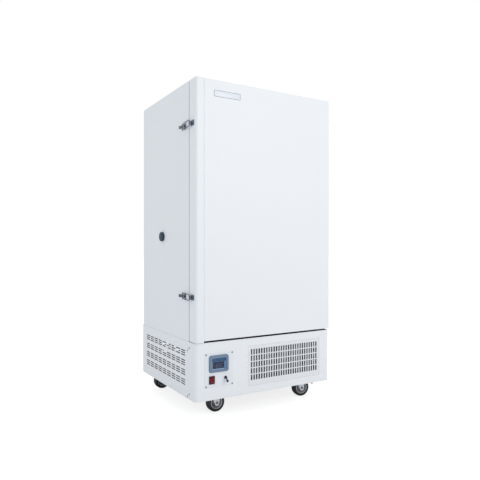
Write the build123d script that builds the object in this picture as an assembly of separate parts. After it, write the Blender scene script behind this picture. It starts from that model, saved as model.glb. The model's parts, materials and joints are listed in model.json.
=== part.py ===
from build123d import *
import os
from math import atan2, cos, degrees, radians, sin

# Upright laboratory freezer: an insulated cabinet on a machine base, one door hinged on the right,
# two toggle latches and a test port on the left side, and four swivel casters.
# The origin is on the floor, under the middle of the whole outline. +Y runs from the front to the
# back, +X to the right of someone who faces the door, and +Z up. All sizes are millimetres.

# Outline
width = 780.0
cabinet_height = 1204.0
cabinet_depth = 598.0
base_height = 266.0
ground_clearance = 90.0
base_overhang = 12.0
base_setback = 6.0

# Sheet metal, liner and insulation
sheet = 1.2
liner_sheet = 1.0
side_wall = 90.0
roof_wall = 90.0
floor_wall = 100.0
back_wall = 90.0
mouth_side = 46.0
mouth_top = 34.0
mouth_bottom = 42.0
rear_flange = 14.0
cavity_corner = 16.0
breaker_plate = 3.0
breaker_lip = 26.0
breaker_lip_wall = 2.0
liner_flange = 12.0
press_depth = 1.5
press_border = 60.0
press_split = 36.0
press_corner = 20.0

# Door
door_gap_below = 9.0
door_body = 62.0
door_standoff = 10.0
edge_width = 41.0
edge_wall = 2.5
edge_proud = 2.5
edge_corner = 10.0
edge_drop = 7.0
edge_inner_bend = 2.0
edge_rear_gap = 4.0
edge_rear_width = 24.0
edge_inner_depth = 20.0
panel_gap = 0.5
panel_bend = 8.0
fold_bend = 3.0
panel_return = 18.0
door_skin = 2.0
cap_thickness = 12.0
plug_depth = 30.0
plug_clearance = 8.0
plug_draft = 5.0
plug_corner = 22.0
gasket_width = 14.0
gasket_side_inset = 28.0
gasket_end_inset = 18.0
gasket_gap = 0.3
gasket_foot = 3.0
gasket_neck = 6.0
gasket_magnet = 3.4

# Door hinges: a pin on a bracket above the door and one below it
hinge_inset = 16.0
hinge_back = 26.0
hinge_pin_radius = 5.0
running_clearance = 0.05
hinge_pin_grip = 18.0
hinge_plate = 4.0
hinge_gap = 1.0
hinge_flange_width = 90.0
hinge_flange_height = 16.0
hinge_tongue_radius = 14.0
hinge_edge_gap = 2.0
hinge_boss_radius = 13.0
hinge_boss_length = 24.0

# Toggle latches on the left side
latch_heights = (1358.0, 563.0)
latch_pivot = 112.0
latch_pivot_height = 7.0
latch_throw = 12.0
latch_pin_radius = 1.5
link_pin_radius = 1.75
latch_base_front = 100.0
latch_base_length = 48.0
latch_base_width = 32.0
latch_plate = 1.6
ear_spacing = 9.0
ear_radius = 4.5
lever_width = 14.0
lever_wall = 1.6
lever_length = 42.0
lever_top = 10.6
lever_front = 3.8
lever_tip_rise = 5.0
link_width = 30.0
link_arm = 3.4
link_thick = 2.4
link_length = 84.0
link_band = 8.0
link_lift = 6.6
link_corner = 9.0
keeper_front = 16.0
keeper_length = 40.0
keeper_width = 26.0
keeper_post = 16.0
keeper_height = 10.8
keeper_lip = 8.0
keeper_thick = 2.5

# Test port in the left wall, closed by a plug
port_back = 388.0
port_height = 846.0
port_bore_radius = 14.3
port_sleeve_wall = 2.7
port_flange_radius = 21.0
port_flange_thick = 1.5
plug_stem_radius = 14.0
plug_cap_radius = 24.0
plug_cap_thick = 12.0
plug_stem_stop = 4.0

# Storage space
shelf_count = 4
shelf_sheet = 1.2
shelf_skirt = 15.0
shelf_side_gap = 4.0
shelf_front_gap = 60.0
shelf_back_gap = 12.0
shelf_slot_rows = 2
shelf_slot_columns = 7
shelf_slot_width = 12.0
shelf_slot_length = 150.0
rail_height = 22.0
rail_width = 16.0
rail_sheet = 1.5

# Evaporator tube behind the liner
coil_radius = 5.0
coil_runs = 6
coil_pitch = 120.0
coil_margin = 70.0
coil_tail = 12.0
coil_hole_gap = 1.0

# Base: welded chassis and its covers
chassis_lift = 22.0
chassis_wall = 2.5
chassis_border = 30.0
chassis_post = 40.0
chassis_front_gap = 4.0
base_corner = 18.0
wrap_length = 72.0
cover_gap = 0.6
grille_left = 279.0
grille_width = 437.0
grille_low = 36.0
grille_height = 193.0
grille_recess = 0.6
grille_flange = 10.0
grille_rows = 5
grille_columns = 28
grille_slot_width = 8.7
grille_slot_height = 26.0
grille_pitch = 14.63
grille_row_pitch = 30.6
grille_slot_low = 27.0
louvre_bands = 4
louvre_rows = 3
louvre_columns = 9
louvre_length = 46.0
louvre_height = 5.0
louvre_pitch = 57.5
louvre_row_pitch = 10.5
louvre_band_pitch = 45.7
louvre_first = 115.0
louvre_low = 68.8
rear_vent_rows = 6
rear_vent_columns = 4
rear_vent_length = 110.0
rear_vent_height = 7.0
rear_vent_pitch = 22.0

# Controls on the base
plate_left = 48.0
plate_width = 149.0
plate_low = 58.0
plate_height = 158.0
plate_thick = 1.5
bezel_left = 68.0
bezel_width = 103.0
bezel_low = 125.0
bezel_height = 80.0
bezel_proud = 7.0
bezel_corner = 12.0
bezel_face_depth = 2.5
bezel_frame = 14.0
housing_depth = 52.0
housing_margin = 8.0
window_left = 87.0
window_width = 58.0
window_low = 143.0
window_height = 31.0
window_thick = 1.6
key_left = 147.0
key_width = 7.0
key_height = 10.0
key_low = 144.0
key_pitch = 16.0
key_travel = 1.0
key_gap = 0.3
key_depth = 6.0
rocker_left = 69.0
rocker_width = 29.0
rocker_low = 74.0
rocker_height = 37.0
rocker_frame = 4.0
rocker_frame_proud = 3.0
rocker_body_depth = 26.0
rocker_gap = 0.4
rocker_end_gap = 1.4
rocker_crown = 4.0
toggle_across = 155.0
toggle_up = 97.0
toggle_nut_radius = 7.5
toggle_nut_thick = 2.5
toggle_bush_radius = 6.0
toggle_bush_reach = 6.5
toggle_pivot_depth = 1.2
toggle_lever_radius = 2.2
toggle_sleeve_radius = 5.5
toggle_sleeve_length = 17.0
toggle_lever_length = 26.0
toggle_rest_angle = 42.0
toggle_ball_radius = 4.0

# Screws
screw_head_radius = 4.0
screw_head_thick = 1.6
screw_shank_radius = 2.0

# Refrigeration machine
compressor_radius = 85.0
compressor_height = 176.0
compressor_neck = 60.0
compressor_shoulder = 34.0
compressor_seam = 3.0
compressor_foot = 92.0
compressor_foot_plate = 4.0
compressor_across = 560.0
compressor_back = 510.0
grommet_radius = 12.0
grommet_height = 18.0
condenser_left = 268.0
condenser_width = 440.0
condenser_height = 190.0
condenser_thick = 44.0
condenser_front = 40.0
condenser_fin_pitch = 18.0
condenser_groove = 10.0
fan_radius = 88.0
fan_clearance = 5.0
fan_hub_radius = 26.0
fan_blades = 5
fan_blade_chord = 52.0
fan_blade_thick = 2.0
fan_blade_pitch = 24.0
fan_depth = 28.0
shroud_depth = 40.0
shroud_wall = 1.5
motor_radius = 34.0
motor_length = 58.0
motor_shaft_radius = 4.0
motor_arm = 10.0
drier_radius = 12.0
drier_length = 120.0
pipe_radius = 4.0
pipe_bend = 12.0
pipe_level = 27.0
pipe_step = 25.0
inlet_width = 48.0
inlet_height = 30.0
inlet_depth = 24.0
inlet_across = 660.0
inlet_up = 78.0

# Casters
wheel_radius = 45.0
wheel_width = 34.0
tyre_depth = 14.0
tyre_chamfer = 5.0
axle_radius = 6.0
hub_boss_radius = 11.0
hub_web = 10.0
caster_side_front = 134.0
caster_side_rear = 110.0
caster_front = 104.0
caster_rear = 62.0
caster_trail = 22.0
caster_headings = (0.0, -10.0, 180.0, 200.0)
fork_wall = 3.0
fork_gap = 2.0
fork_crown = 5.0
fork_crown_radius = 27.0
fork_leg_width = 26.0
fork_crown_clearance = 3.0
caster_plate_thick = 4.0
caster_plate_length = 96.0
caster_plate_width = 76.0
caster_race_radius = 25.0
caster_pin_radius = 6.0
caster_pin_head = 2.5
caster_pin_head_radius = 9.0
caster_pin_gap = 0.2
pedal_sheet = 2.5
pedal_side_gap = 0.4
pedal_pin_radius = 3.0
pedal_pin_out = 29.0
pedal_pin_up = 84.0
pedal_near = 55.0
pedal_far = 84.0
pedal_high = 91.0
pedal_low = 61.0
pedal_tread = 3.0
pedal_slot_width = 26.0
pedal_slot_height = 7.0

# Places that follow from the sizes above
side_reach = lever_top + lever_tip_rise
toggle_tilt = radians(toggle_rest_angle)
toggle_reach = toggle_bush_reach - toggle_pivot_depth + toggle_lever_length * cos(toggle_tilt)
front_reach = plate_thick + toggle_reach + toggle_sleeve_radius * sin(toggle_tilt) - base_setback
door_zone = door_body + door_standoff
whole_depth = door_zone + cabinet_depth + base_overhang
x_left = (side_reach - screw_head_thick - width) / 2
x_right = x_left + width
x_middle = (x_left + x_right) / 2
y_front = (front_reach - whole_depth) / 2
y_face = y_front + door_zone
y_back = y_face + cabinet_depth
y_base_front = y_front + base_setback
y_base_back = y_back + base_overhang
z_base = ground_clearance
z_seam = z_base + base_height
z_top = z_seam + cabinet_height
z_door = z_seam + door_gap_below
y_door_back = y_front + door_body
hinge_x = x_right - hinge_inset
hinge_y = y_door_back - hinge_back
panel_left = x_left + edge_width + panel_gap
cavity_left = x_left + side_wall
cavity_right = x_right - side_wall
cavity_floor = z_seam + floor_wall
cavity_roof = z_top - roof_wall
cavity_back = y_back - back_wall
liner_front = y_face + breaker_plate
chassis_bottom = z_base + chassis_lift
chassis_front = y_base_front + chassis_front_gap
chassis_left = x_left + sheet
chassis_right = x_right - sheet
chassis_back = y_base_back - sheet
pan_top = chassis_bottom + chassis_wall


def block(low, high):
    """A box between two opposite corners."""
    low, high = Vector(*low), Vector(*high)
    size = high - low
    return Pos(*((low + high) / 2)) * Box(size.X, size.Y, size.Z)


def ring(low, high, wall_x, wall_z):
    """A rectangular frame that faces the front, with side walls and end walls of their own widths."""
    inner_low = (low[0] + wall_x, low[1] - 1, low[2] + wall_z)
    inner_high = (high[0] - wall_x, high[1] + 1, high[2] - wall_z)
    return block(low, high) - block(inner_low, inner_high)


def facing_front(x, y, z):
    """A plane whose normal points out of the front, with its own x along +X."""
    return Plane(origin=(x, y, z), x_dir=(1, 0, 0), z_dir=(0, -1, 0))


def facing_left(x, y, z):
    """A plane whose normal points out of the left side, with its own x towards the front."""
    return Plane(origin=(x, y, z), x_dir=(0, -1, 0), z_dir=(-1, 0, 0))


def folded_sheet(points, radii, thickness, low, high):
    """Sheet folded along an open path in plan; the path is its outer face, going anticlockwise inside."""
    path = FilletPolyline(*points, radius=radii)
    strip = offset(path, amount=thickness, side=Side.LEFT, closed=True)
    return Pos(0, 0, low) * extrude(make_face(strip), amount=high - low, dir=(0, 0, 1))


def tube(points, radius, bend):
    """A round tube along straight runs with bends of one radius."""
    path = FilletPolyline(*points, radius=bend)
    return sweep(Plane(origin=path @ 0, z_dir=path % 0) * Circle(radius), path=path)


def screw(plane, length):
    """A pan-head screw: the head stands on the plane and the shank goes in behind it."""
    head = extrude(plane * Circle(screw_head_radius), amount=screw_head_thick)
    shank = extrude(plane * Circle(screw_shank_radius), amount=-length)
    return head + shank


def screw_holes(planes, length):
    """The holes that those screws pass through."""
    return [extrude(plane * Circle(screw_shank_radius), amount=-length) for plane in planes]


# Cabinet

def outer_shell():
    """Folded white sheet: sides, top and bottom, with a front rim for the gasket and a rear flange."""
    back = y_back - sheet
    shell = block((x_left, y_face, z_seam), (x_right, back, z_top))
    shell -= block(
        (x_left + sheet, y_face + sheet, z_seam + sheet),
        (x_right - sheet, back - sheet, z_top - sheet),
    )
    shell -= block(
        (x_left + mouth_side, y_face - 1, z_seam + mouth_bottom),
        (x_right - mouth_side, y_face + sheet + 1, z_top - mouth_top),
    )
    shell -= block(
        (x_left + rear_flange, back - sheet - 1, z_seam + rear_flange),
        (x_right - rear_flange, back + 1, z_top - rear_flange),
    )
    for hole in coil_holes():
        shell -= hole
    return shell - port_cylinder(port_bore_radius + port_sleeve_wall)


def rear_panel():
    """Flat back sheet with two pressed fields that stiffen it."""
    panel = block((x_left, y_back - sheet, z_seam), (x_right, y_back, z_top))
    field_height = (cabinet_height - 2 * press_border - press_split) / 2
    for level in (-1, 1):
        middle = z_seam + cabinet_height / 2 + level * (field_height + press_split) / 2
        plane = Plane(origin=(x_middle, y_back, middle), x_dir=(-1, 0, 0), z_dir=(0, 1, 0))
        field = RectangleRounded(width - 2 * press_border, field_height, press_corner)
        panel += extrude(plane * field, amount=press_depth, taper=30)
    for hole in screw_holes(rear_screw_planes(), sheet):
        panel -= hole
    return panel


def storage_block(grow, front):
    """The storage space as a block with rounded rear corners, swollen on its closed sides."""
    low_x = cavity_left - grow
    high_x = cavity_right + grow
    back = cavity_back + grow
    plan = Pos((low_x + high_x) / 2, (front + back) / 2) * Rectangle(high_x - low_x, back - front)
    rear = plan.vertices().sort_by(Axis.Y)[-2:]
    plan = fillet(rear, cavity_corner + grow)
    tall = cavity_roof - cavity_floor + 2 * grow
    return Pos(0, 0, cavity_floor - grow) * extrude(plan, amount=tall)


def inner_liner():
    """Stainless box, open at the front, with a narrow rim behind the breaker frame."""
    liner = storage_block(liner_sheet, liner_front)
    rim = block(
        (cavity_left - liner_flange, liner_front, cavity_floor - liner_flange),
        (cavity_right + liner_flange, liner_front + liner_sheet, cavity_roof + liner_flange),
    )
    liner = liner + rim - storage_block(0, liner_front - 1)
    return liner - port_cylinder(port_bore_radius + port_sleeve_wall)


def breaker_frame():
    """Plastic frame between the shell's rim and the liner, which stops the cold reaching the shell."""
    frame = block(
        (x_left + mouth_side, y_face, z_seam + mouth_bottom),
        (x_right - mouth_side, liner_front, z_top - mouth_top),
    )
    frame += block(
        (cavity_left, y_face, cavity_floor),
        (cavity_right, y_face + breaker_lip, cavity_roof),
    )
    return frame - block(
        (cavity_left + breaker_lip_wall, y_face - 1, cavity_floor + breaker_lip_wall),
        (cavity_right - breaker_lip_wall, y_face + breaker_lip + 1, cavity_roof - breaker_lip_wall),
    )


def cabinet_foam():
    """Foamed insulation that fills the space between the shell and the liner."""
    foam = block(
        (x_left + sheet, y_face + sheet, z_seam + sheet),
        (x_right - sheet, y_back - 2 * sheet, z_top - sheet),
    )
    foam -= storage_block(liner_sheet, y_face - 1)
    foam -= block(
        (x_left + mouth_side, y_face, z_seam + mouth_bottom),
        (x_right - mouth_side, liner_front, z_top - mouth_top),
    )
    foam -= block(
        (cavity_left - liner_flange, liner_front - 1, cavity_floor - liner_flange),
        (cavity_right + liner_flange, liner_front + liner_sheet, cavity_roof + liner_flange),
    )
    coil_zone = cavity_back + liner_sheet
    foam -= block(
        (cavity_left + coil_margin / 2, coil_zone - 1, cavity_floor + coil_margin / 2),
        (cavity_right - coil_margin / 2, coil_zone + 2 * coil_radius, cavity_roof - coil_margin / 2),
    )
    for hole in coil_holes():
        foam -= hole
    return foam - port_cylinder(port_bore_radius + port_sleeve_wall)


def coil_line():
    """The level at the back where the evaporator tube runs."""
    return cavity_back + liner_sheet + coil_radius


def coil_tails():
    """Where the evaporator's two ends come down: the suction end and the liquid end."""
    return cavity_left + coil_margin, cavity_left + coil_margin - pipe_step


def coil_holes():
    """Ways for the evaporator's two ends through the insulated floor."""
    radius = coil_radius + coil_hole_gap
    tall = floor_wall + coil_margin
    return [Pos(x, coil_line(), z_seam + tall / 2 - 1) * Cylinder(radius, tall) for x in coil_tails()]


def evaporator_coil():
    """Copper tube in level runs on the back of the liner; both ends come out below the cabinet."""
    y = coil_line()
    suction, liquid = coil_tails()
    right = cavity_right - coil_margin
    low = (cavity_floor + cavity_roof) / 2 - (coil_runs - 1) * coil_pitch / 2
    points = [(suction, y, z_seam - coil_tail)]
    for run in range(coil_runs):
        ends = [(suction, y, low + run * coil_pitch), (right, y, low + run * coil_pitch)]
        points += ends if run % 2 == 0 else ends[::-1]
    points[-1] = (liquid, y, low + (coil_runs - 1) * coil_pitch)
    points.append((liquid, y, z_seam - coil_tail))
    return tube(points, coil_radius, pipe_step / 2)


def shelf_levels():
    """The height of each shelf's top, evenly spaced in the storage space."""
    step = (cavity_roof - cavity_floor) / (shelf_count + 1)
    return [cavity_floor + step * (number + 1) for number in range(shelf_count)]


def shelf(level):
    """Folded sheet shelf, turned down on all four sides and slotted for the cold air."""
    low_x = cavity_left + shelf_side_gap
    high_x = cavity_right - shelf_side_gap
    front = y_face + shelf_front_gap
    back = cavity_back - shelf_back_gap
    body = block((low_x, front, level - shelf_skirt), (high_x, back, level))
    body -= block(
        (low_x + shelf_sheet, front + shelf_sheet, level - shelf_skirt - 1),
        (high_x - shelf_sheet, back - shelf_sheet, level - shelf_sheet),
    )
    slot = Box(shelf_slot_width, shelf_slot_length, 4 * shelf_sheet)
    spread_x = (high_x - low_x) / shelf_slot_columns
    spread_y = (back - front) / shelf_slot_rows
    middle = Pos((low_x + high_x) / 2, (front + back) / 2, level)
    spots = GridLocations(spread_x, spread_y, shelf_slot_columns, shelf_slot_rows)
    return body - [middle * spot * slot for spot in spots]


def shelves():
    return [shelf(level) for level in shelf_levels()]


def shelf_rails():
    """Angle rails on the liner's side walls; each shelf's turned-down sides stand on a pair."""
    rails = []
    front = y_face + shelf_front_gap
    back = cavity_back - cavity_corner
    for level in shelf_levels():
        seat = level - shelf_skirt
        for wall, inward in ((cavity_left, 1), (cavity_right, -1)):
            near = sorted((wall, wall + inward * rail_sheet))
            wide = sorted((wall, wall + inward * rail_width))
            upright = block((near[0], front, seat - rail_height), (near[1], back, seat))
            ledge = block((wide[0], front, seat - rail_sheet), (wide[1], back, seat))
            rails.append(upright + ledge)
    return rails


# Test port

def port_cylinder(radius):
    """A bore through the left wall, from outside the shell to inside the liner."""
    plane = facing_left(cavity_left + 1, y_front + port_back, port_height)
    return extrude(plane * Circle(radius), amount=side_wall + 2)


def port_sleeve():
    """Plastic tube through the left wall, with a flange outside."""
    plane = facing_left(cavity_left, y_front + port_back, port_height)
    tube = extrude(plane * Circle(port_bore_radius + port_sleeve_wall), amount=side_wall)
    outer = facing_left(x_left, y_front + port_back, port_height)
    tube += extrude(outer * Circle(port_flange_radius), amount=port_flange_thick)
    bore = extrude(plane * Circle(port_bore_radius), amount=side_wall + port_flange_thick + 1)
    return tube - bore


def port_plug():
    """Rubber plug: a stem that fills the sleeve and a round cap that covers its flange."""
    outer = facing_left(x_left - port_flange_thick, y_front + port_back, port_height)
    cap = extrude(outer * Circle(plug_cap_radius), amount=plug_cap_thick)
    rim = cap.edges().filter_by(GeomType.CIRCLE).sort_by(Axis.X)[0]
    cap = chamfer(rim, plug_cap_thick / 4)
    stem = extrude(outer * Circle(plug_stem_radius), amount=plug_stem_stop - side_wall)
    return cap + stem


# Door

def door_core(inset, front_inset, low, high, back):
    """The inside of the folded door panel, between two levels and up to a rear plane."""
    left = panel_left + inset
    right = x_right - inset
    front = y_front + front_inset
    plan = Pos((left + right) / 2, (front + back) / 2) * Rectangle(right - left, back - front)
    corners = plan.vertices().sort_by(Axis.Y)[:2].sort_by(Axis.X)
    plan = fillet(corners[1], panel_bend - inset)
    corners = plan.vertices().group_by(Axis.Y)[0].sort_by(Axis.X)
    plan = fillet(corners[0], fold_bend - inset)
    core = Pos(0, 0, low) * extrude(plan, amount=high - low)
    fold = block((x_right - panel_return, y_door_back - door_skin - sheet, low - 1), (x_right, y_door_back, high + 1))
    return core - fold


def door_panel():
    """White front sheet, folded back round the hinge side and behind the door's edge."""
    back = y_door_back - door_skin
    points = [
        (panel_left, y_front + edge_inner_depth),
        (panel_left, y_front),
        (x_right, y_front),
        (x_right, back),
        (x_right - panel_return, back),
    ]
    return folded_sheet(points, (fold_bend, panel_bend, fold_bend), sheet, z_door, z_top)


def door_edge_profile():
    """Extruded grip on the latch side, proud of the panel and rounded, with a plate at each end."""
    left = x_left
    right = x_left + edge_width
    rear = x_left + edge_rear_width
    front = y_front - edge_proud
    back = y_face - edge_rear_gap
    low = z_door - edge_drop
    points = [
        (right, y_door_back),
        (rear, y_door_back),
        (rear, back),
        (left, back),
        (left, front),
        (right, front),
        (right, y_front + edge_inner_depth),
    ]
    radii = (edge_inner_bend, fold_bend, fold_bend, edge_corner, fold_bend)
    edge = folded_sheet(points, radii, edge_wall, low, z_top)
    plan = Pos((left + right) / 2, (front + y_door_back) / 2)
    plan *= Rectangle(right - left, y_door_back - front)
    corner = plan.vertices().group_by(Axis.Y)[0].sort_by(Axis.X)[0]
    plan = fillet(corner, edge_corner)
    corner = plan.vertices().group_by(Axis.Y)[0].sort_by(Axis.X)[-1]
    plan = fillet(corner, fold_bend)
    end = extrude(plan, amount=edge_wall)
    return edge + Pos(0, 0, low) * end + Pos(0, 0, z_top - edge_wall) * end


def door_cap(top):
    """Moulded end cap inside the folded panel, with a boss bored for the hinge pin."""
    back = y_door_back - door_skin
    face = z_top if top else z_door
    inward = -1 if top else 1
    low, high = sorted((face, face + inward * cap_thickness))
    cap = door_core(sheet, sheet, low, high, back)
    cap += hinge_boss(top)
    plane = Plane(origin=(hinge_x, hinge_y, face), z_dir=(0, 0, inward))
    cap -= extrude(plane * Circle(hinge_pin_radius + running_clearance), amount=hinge_pin_grip + 1)
    return cap - door_panel()


def hinge_boss(top):
    """The solid boss round a hinge pin, before it is bored."""
    plane = Plane(origin=(hinge_x, hinge_y, z_top if top else z_door), z_dir=(0, 0, -1 if top else 1))
    return extrude(plane * Circle(hinge_boss_radius), amount=hinge_boss_length)


def door_caps():
    return [door_cap(True), door_cap(False)]


def door_liner():
    """Formed inner skin with a raised field that plugs the mouth of the storage space."""
    skin = block(
        (panel_left + panel_gap, y_door_back - door_skin, z_door + fold_bend),
        (x_right - fold_bend, y_door_back, z_top - fold_bend),
    )
    low_x = cavity_left + breaker_lip_wall + plug_clearance
    high_x = cavity_right - breaker_lip_wall - plug_clearance
    low_z = cavity_floor + breaker_lip_wall + plug_clearance
    high_z = cavity_roof - breaker_lip_wall - plug_clearance
    plane = Plane(
        origin=((low_x + high_x) / 2, y_door_back, (low_z + high_z) / 2),
        x_dir=(-1, 0, 0),
        z_dir=(0, 1, 0),
    )
    field = RectangleRounded(high_x - low_x, high_z - low_z, plug_corner)
    skin += extrude(plane * field, amount=plug_depth, taper=plug_draft)
    inner = RectangleRounded(
        high_x - low_x - 2 * door_skin, high_z - low_z - 2 * door_skin, plug_corner - door_skin
    )
    hollow = plane.offset(-door_skin) * inner
    return skin - extrude(hollow, amount=plug_depth, taper=plug_draft)


def door_foam():
    """Foamed core of the door, between the panel, the caps and the inner skin."""
    back = y_door_back - door_skin
    foam = door_core(sheet, sheet, z_door + cap_thickness, z_top - cap_thickness, back)
    low_x = cavity_left + breaker_lip_wall + plug_clearance + door_skin
    high_x = cavity_right - breaker_lip_wall - plug_clearance - door_skin
    low_z = cavity_floor + breaker_lip_wall + plug_clearance + door_skin
    high_z = cavity_roof - breaker_lip_wall - plug_clearance - door_skin
    plane = Plane(
        origin=((low_x + high_x) / 2, back, (low_z + high_z) / 2), x_dir=(-1, 0, 0), z_dir=(0, 1, 0)
    )
    field = RectangleRounded(high_x - low_x, high_z - low_z, plug_corner - door_skin)
    foam += extrude(plane * field, amount=plug_depth, taper=plug_draft)
    return foam - door_panel() - hinge_boss(True) - hinge_boss(False)


def door_gasket():
    """Magnetic gasket all round the door's inner face: a foot, a narrow bellows and the magnet pocket."""
    low_x = x_left + gasket_side_inset
    high_x = hinge_x
    low_z = z_door + gasket_end_inset
    high_z = z_top - gasket_end_inset
    contact = y_face - gasket_gap
    slim = (gasket_width - gasket_neck) / 2
    foot = ring(
        (low_x, y_door_back, low_z), (high_x, y_door_back + gasket_foot, high_z), gasket_width, gasket_width
    )
    neck = ring(
        (low_x + slim, y_door_back, low_z + slim),
        (high_x - slim, contact, high_z - slim),
        gasket_neck,
        gasket_neck,
    )
    magnet = ring(
        (low_x, contact - gasket_magnet, low_z), (high_x, contact, high_z), gasket_width, gasket_width
    )
    return foot + neck + magnet


# Hinges

def hinge_bracket(top):
    """Angle bracket on the cabinet's rim whose tongue carries the pin above or below the door."""
    face = z_top + hinge_gap if top else z_door - hinge_gap
    outward = 1 if top else -1
    low, high = sorted((face, face + outward * hinge_plate))
    back = y_face - hinge_plate
    right = x_right - hinge_edge_gap
    tongue_left = hinge_x - hinge_tongue_radius
    tongue = block((tongue_left, hinge_y, low), (right, y_face, high))
    tongue += Pos(hinge_x, hinge_y, (low + high) / 2) * Cylinder(hinge_tongue_radius, hinge_plate)
    flange_end = face - outward * (hinge_gap + hinge_flange_height)
    flange_low, flange_high = sorted((face + outward * hinge_plate, flange_end))
    flange = block((right - hinge_flange_width, back, flange_low), (right, y_face, flange_high))
    pin = Plane(origin=(hinge_x, hinge_y, face), z_dir=(0, 0, -outward))
    tongue += extrude(pin * Circle(hinge_pin_radius), amount=hinge_gap + hinge_pin_grip)
    bracket = tongue + flange
    for hole in screw_holes(hinge_screw_planes(top), hinge_plate):
        bracket -= hole
    return bracket


def hinge_brackets():
    return [hinge_bracket(True), hinge_bracket(False)]


def hinge_screw_planes(top):
    """Two screws through each bracket, clear of the door's swinging corner."""
    middle = hinge_flange_height / 2
    level = z_top - middle if top else z_door + middle
    right = x_right - hinge_edge_gap
    spots = (right - hinge_flange_width + 12, right - hinge_flange_width + 40)
    return [facing_front(x, y_face - hinge_plate, level) for x in spots]


# Toggle latches, drawn in plan: "out" is the distance outside the left side, "back" from the door's front

def latch_point(out, back):
    return (x_left - out, y_front + back)


def latch_slice(points, middle, wide):
    """A plan outline of (out, back) points, extruded to a width about the latch's middle height."""
    outline = make_face(Polyline(*[latch_point(*point) for point in points], close=True))
    return Pos(0, 0, middle - wide / 2) * extrude(outline, amount=wide, dir=(0, 0, 1))


def latch_rod(out, back, radius, middle, wide):
    """An upright pin at a plan point, centred on the latch's middle height."""
    x, y = latch_point(out, back)
    return Pos(x, y, middle) * Cylinder(radius, wide)


def latch_base(middle):
    """Base plate on the cabinet's side with two ears and the fixed pin of the lever."""
    end = latch_base_front + latch_base_length
    plane = facing_left(x_left, y_front + (latch_base_front + end) / 2, middle)
    base = extrude(plane * RectangleRounded(latch_base_length, latch_base_width, 4), amount=latch_plate)
    for side in (-1, 1):
        level = middle + side * (ear_spacing + latch_plate / 2)
        ear = latch_slice(
            [
                (latch_plate / 2, latch_pivot - ear_radius - 1),
                (latch_pivot_height, latch_pivot - ear_radius),
                (latch_pivot_height, latch_pivot + ear_radius),
                (latch_plate / 2, latch_pivot + ear_radius + 1),
            ],
            level,
            latch_plate,
        )
        base += ear + latch_rod(latch_pivot_height, latch_pivot, ear_radius, level, latch_plate)
    pin_length = 2 * (ear_spacing + latch_plate)
    base += latch_rod(latch_pivot_height, latch_pivot, latch_pin_radius, middle, pin_length)
    for hole in screw_holes(latch_screw_planes(middle), latch_plate):
        base -= hole
    return base


def latch_screw_planes(middle):
    """Two screws through the rear end of each latch base, one above and one below the lever."""
    back = latch_base_front + latch_base_length - 2 * screw_head_radius
    level = latch_base_width / 2 - screw_head_radius
    return [
        facing_left(x_left - latch_plate, y_front + back, middle + side * level) for side in (-1, 1)
    ]


def latch_lever(middle):
    """Channel-shaped lever with a tip that turns outwards for the finger."""
    front = latch_pivot - lever_front
    end = latch_pivot + lever_length
    low = latch_pivot_height - 3.2
    body = latch_slice(
        [
            (low, front),
            (lever_top - 2, front),
            (lever_top, front + 3),
            (lever_top, end - 10),
            (lever_top + lever_tip_rise, end),
            (lever_top + lever_tip_rise - lever_wall, end + 0.6),
            (lever_top - lever_wall - 1, end - 9),
            (low, latch_pivot + latch_throw + 5),
        ],
        middle,
        lever_width,
    )
    body -= latch_slice(
        [
            (0, front - 1),
            (lever_top - lever_wall - 1, front - 1),
            (lever_top - lever_wall, front + 4),
            (lever_top - lever_wall, end - 12),
            (0, latch_pivot + latch_throw + 12),
        ],
        middle,
        lever_width - 2 * lever_wall,
    )
    hole = lever_width + 2
    body -= latch_rod(
        latch_pivot_height, latch_pivot, latch_pin_radius + running_clearance, middle, hole
    )
    return body - latch_rod(
        latch_pivot_height,
        latch_pivot + latch_throw,
        link_pin_radius + running_clearance,
        middle,
        hole,
    )


def latch_link(middle):
    """Stamped draw link: two arms from the lever's second pin to a band that goes over the keeper."""
    x, y = latch_point(latch_pivot_height, latch_pivot + latch_throw)
    tilt = atan2(link_lift, link_length)
    plane = Plane(
        origin=(x, y, middle),
        x_dir=(-sin(tilt), -cos(tilt), 0),
        z_dir=(-cos(tilt), sin(tilt), 0),
    )
    end = link_length + link_band / 2
    outline = Pos(end / 2, 0) * RectangleRounded(end, link_width, link_corner)
    window_length = link_length - link_band / 2 + link_pin_radius
    window = Pos(window_length / 2 - link_pin_radius, 0) * Rectangle(
        window_length + link_pin_radius, link_width - 2 * link_arm
    )
    square_end = Pos(link_corner / 2, 0) * Rectangle(link_corner, link_width)
    link = extrude(plane * (outline + square_end - window), amount=link_thick / 2, both=True)
    return link + latch_rod(
        latch_pivot_height, latch_pivot + latch_throw, link_pin_radius, middle, link_width
    )


def latch_keeper(middle):
    """Keeper on the door's edge: a plate with a post and a lip that points to the front."""
    end = keeper_front + keeper_length
    plane = facing_left(x_left, y_front + (keeper_front + end) / 2, middle)
    plate = extrude(plane * RectangleRounded(keeper_length, keeper_width, 4), amount=keeper_thick / 2)
    post_back = latch_pivot + latch_throw - link_length + link_band / 2 + 4
    lip_end = post_back - keeper_thick - keeper_lip
    hook = latch_slice(
        [
            (0, post_back),
            (keeper_height - 1, post_back),
            (keeper_height, post_back - 1),
            (keeper_height, lip_end + 2),
            (keeper_height - keeper_thick - 1.5, lip_end),
            (keeper_height - keeper_thick, post_back - keeper_thick),
            (0, post_back - keeper_thick),
        ],
        middle,
        keeper_post,
    )
    return plate + hook


def latch_bases():
    return [latch_base(middle) for middle in latch_heights]


def latch_keepers():
    return [latch_keeper(middle) for middle in latch_heights]


# Base

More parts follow.
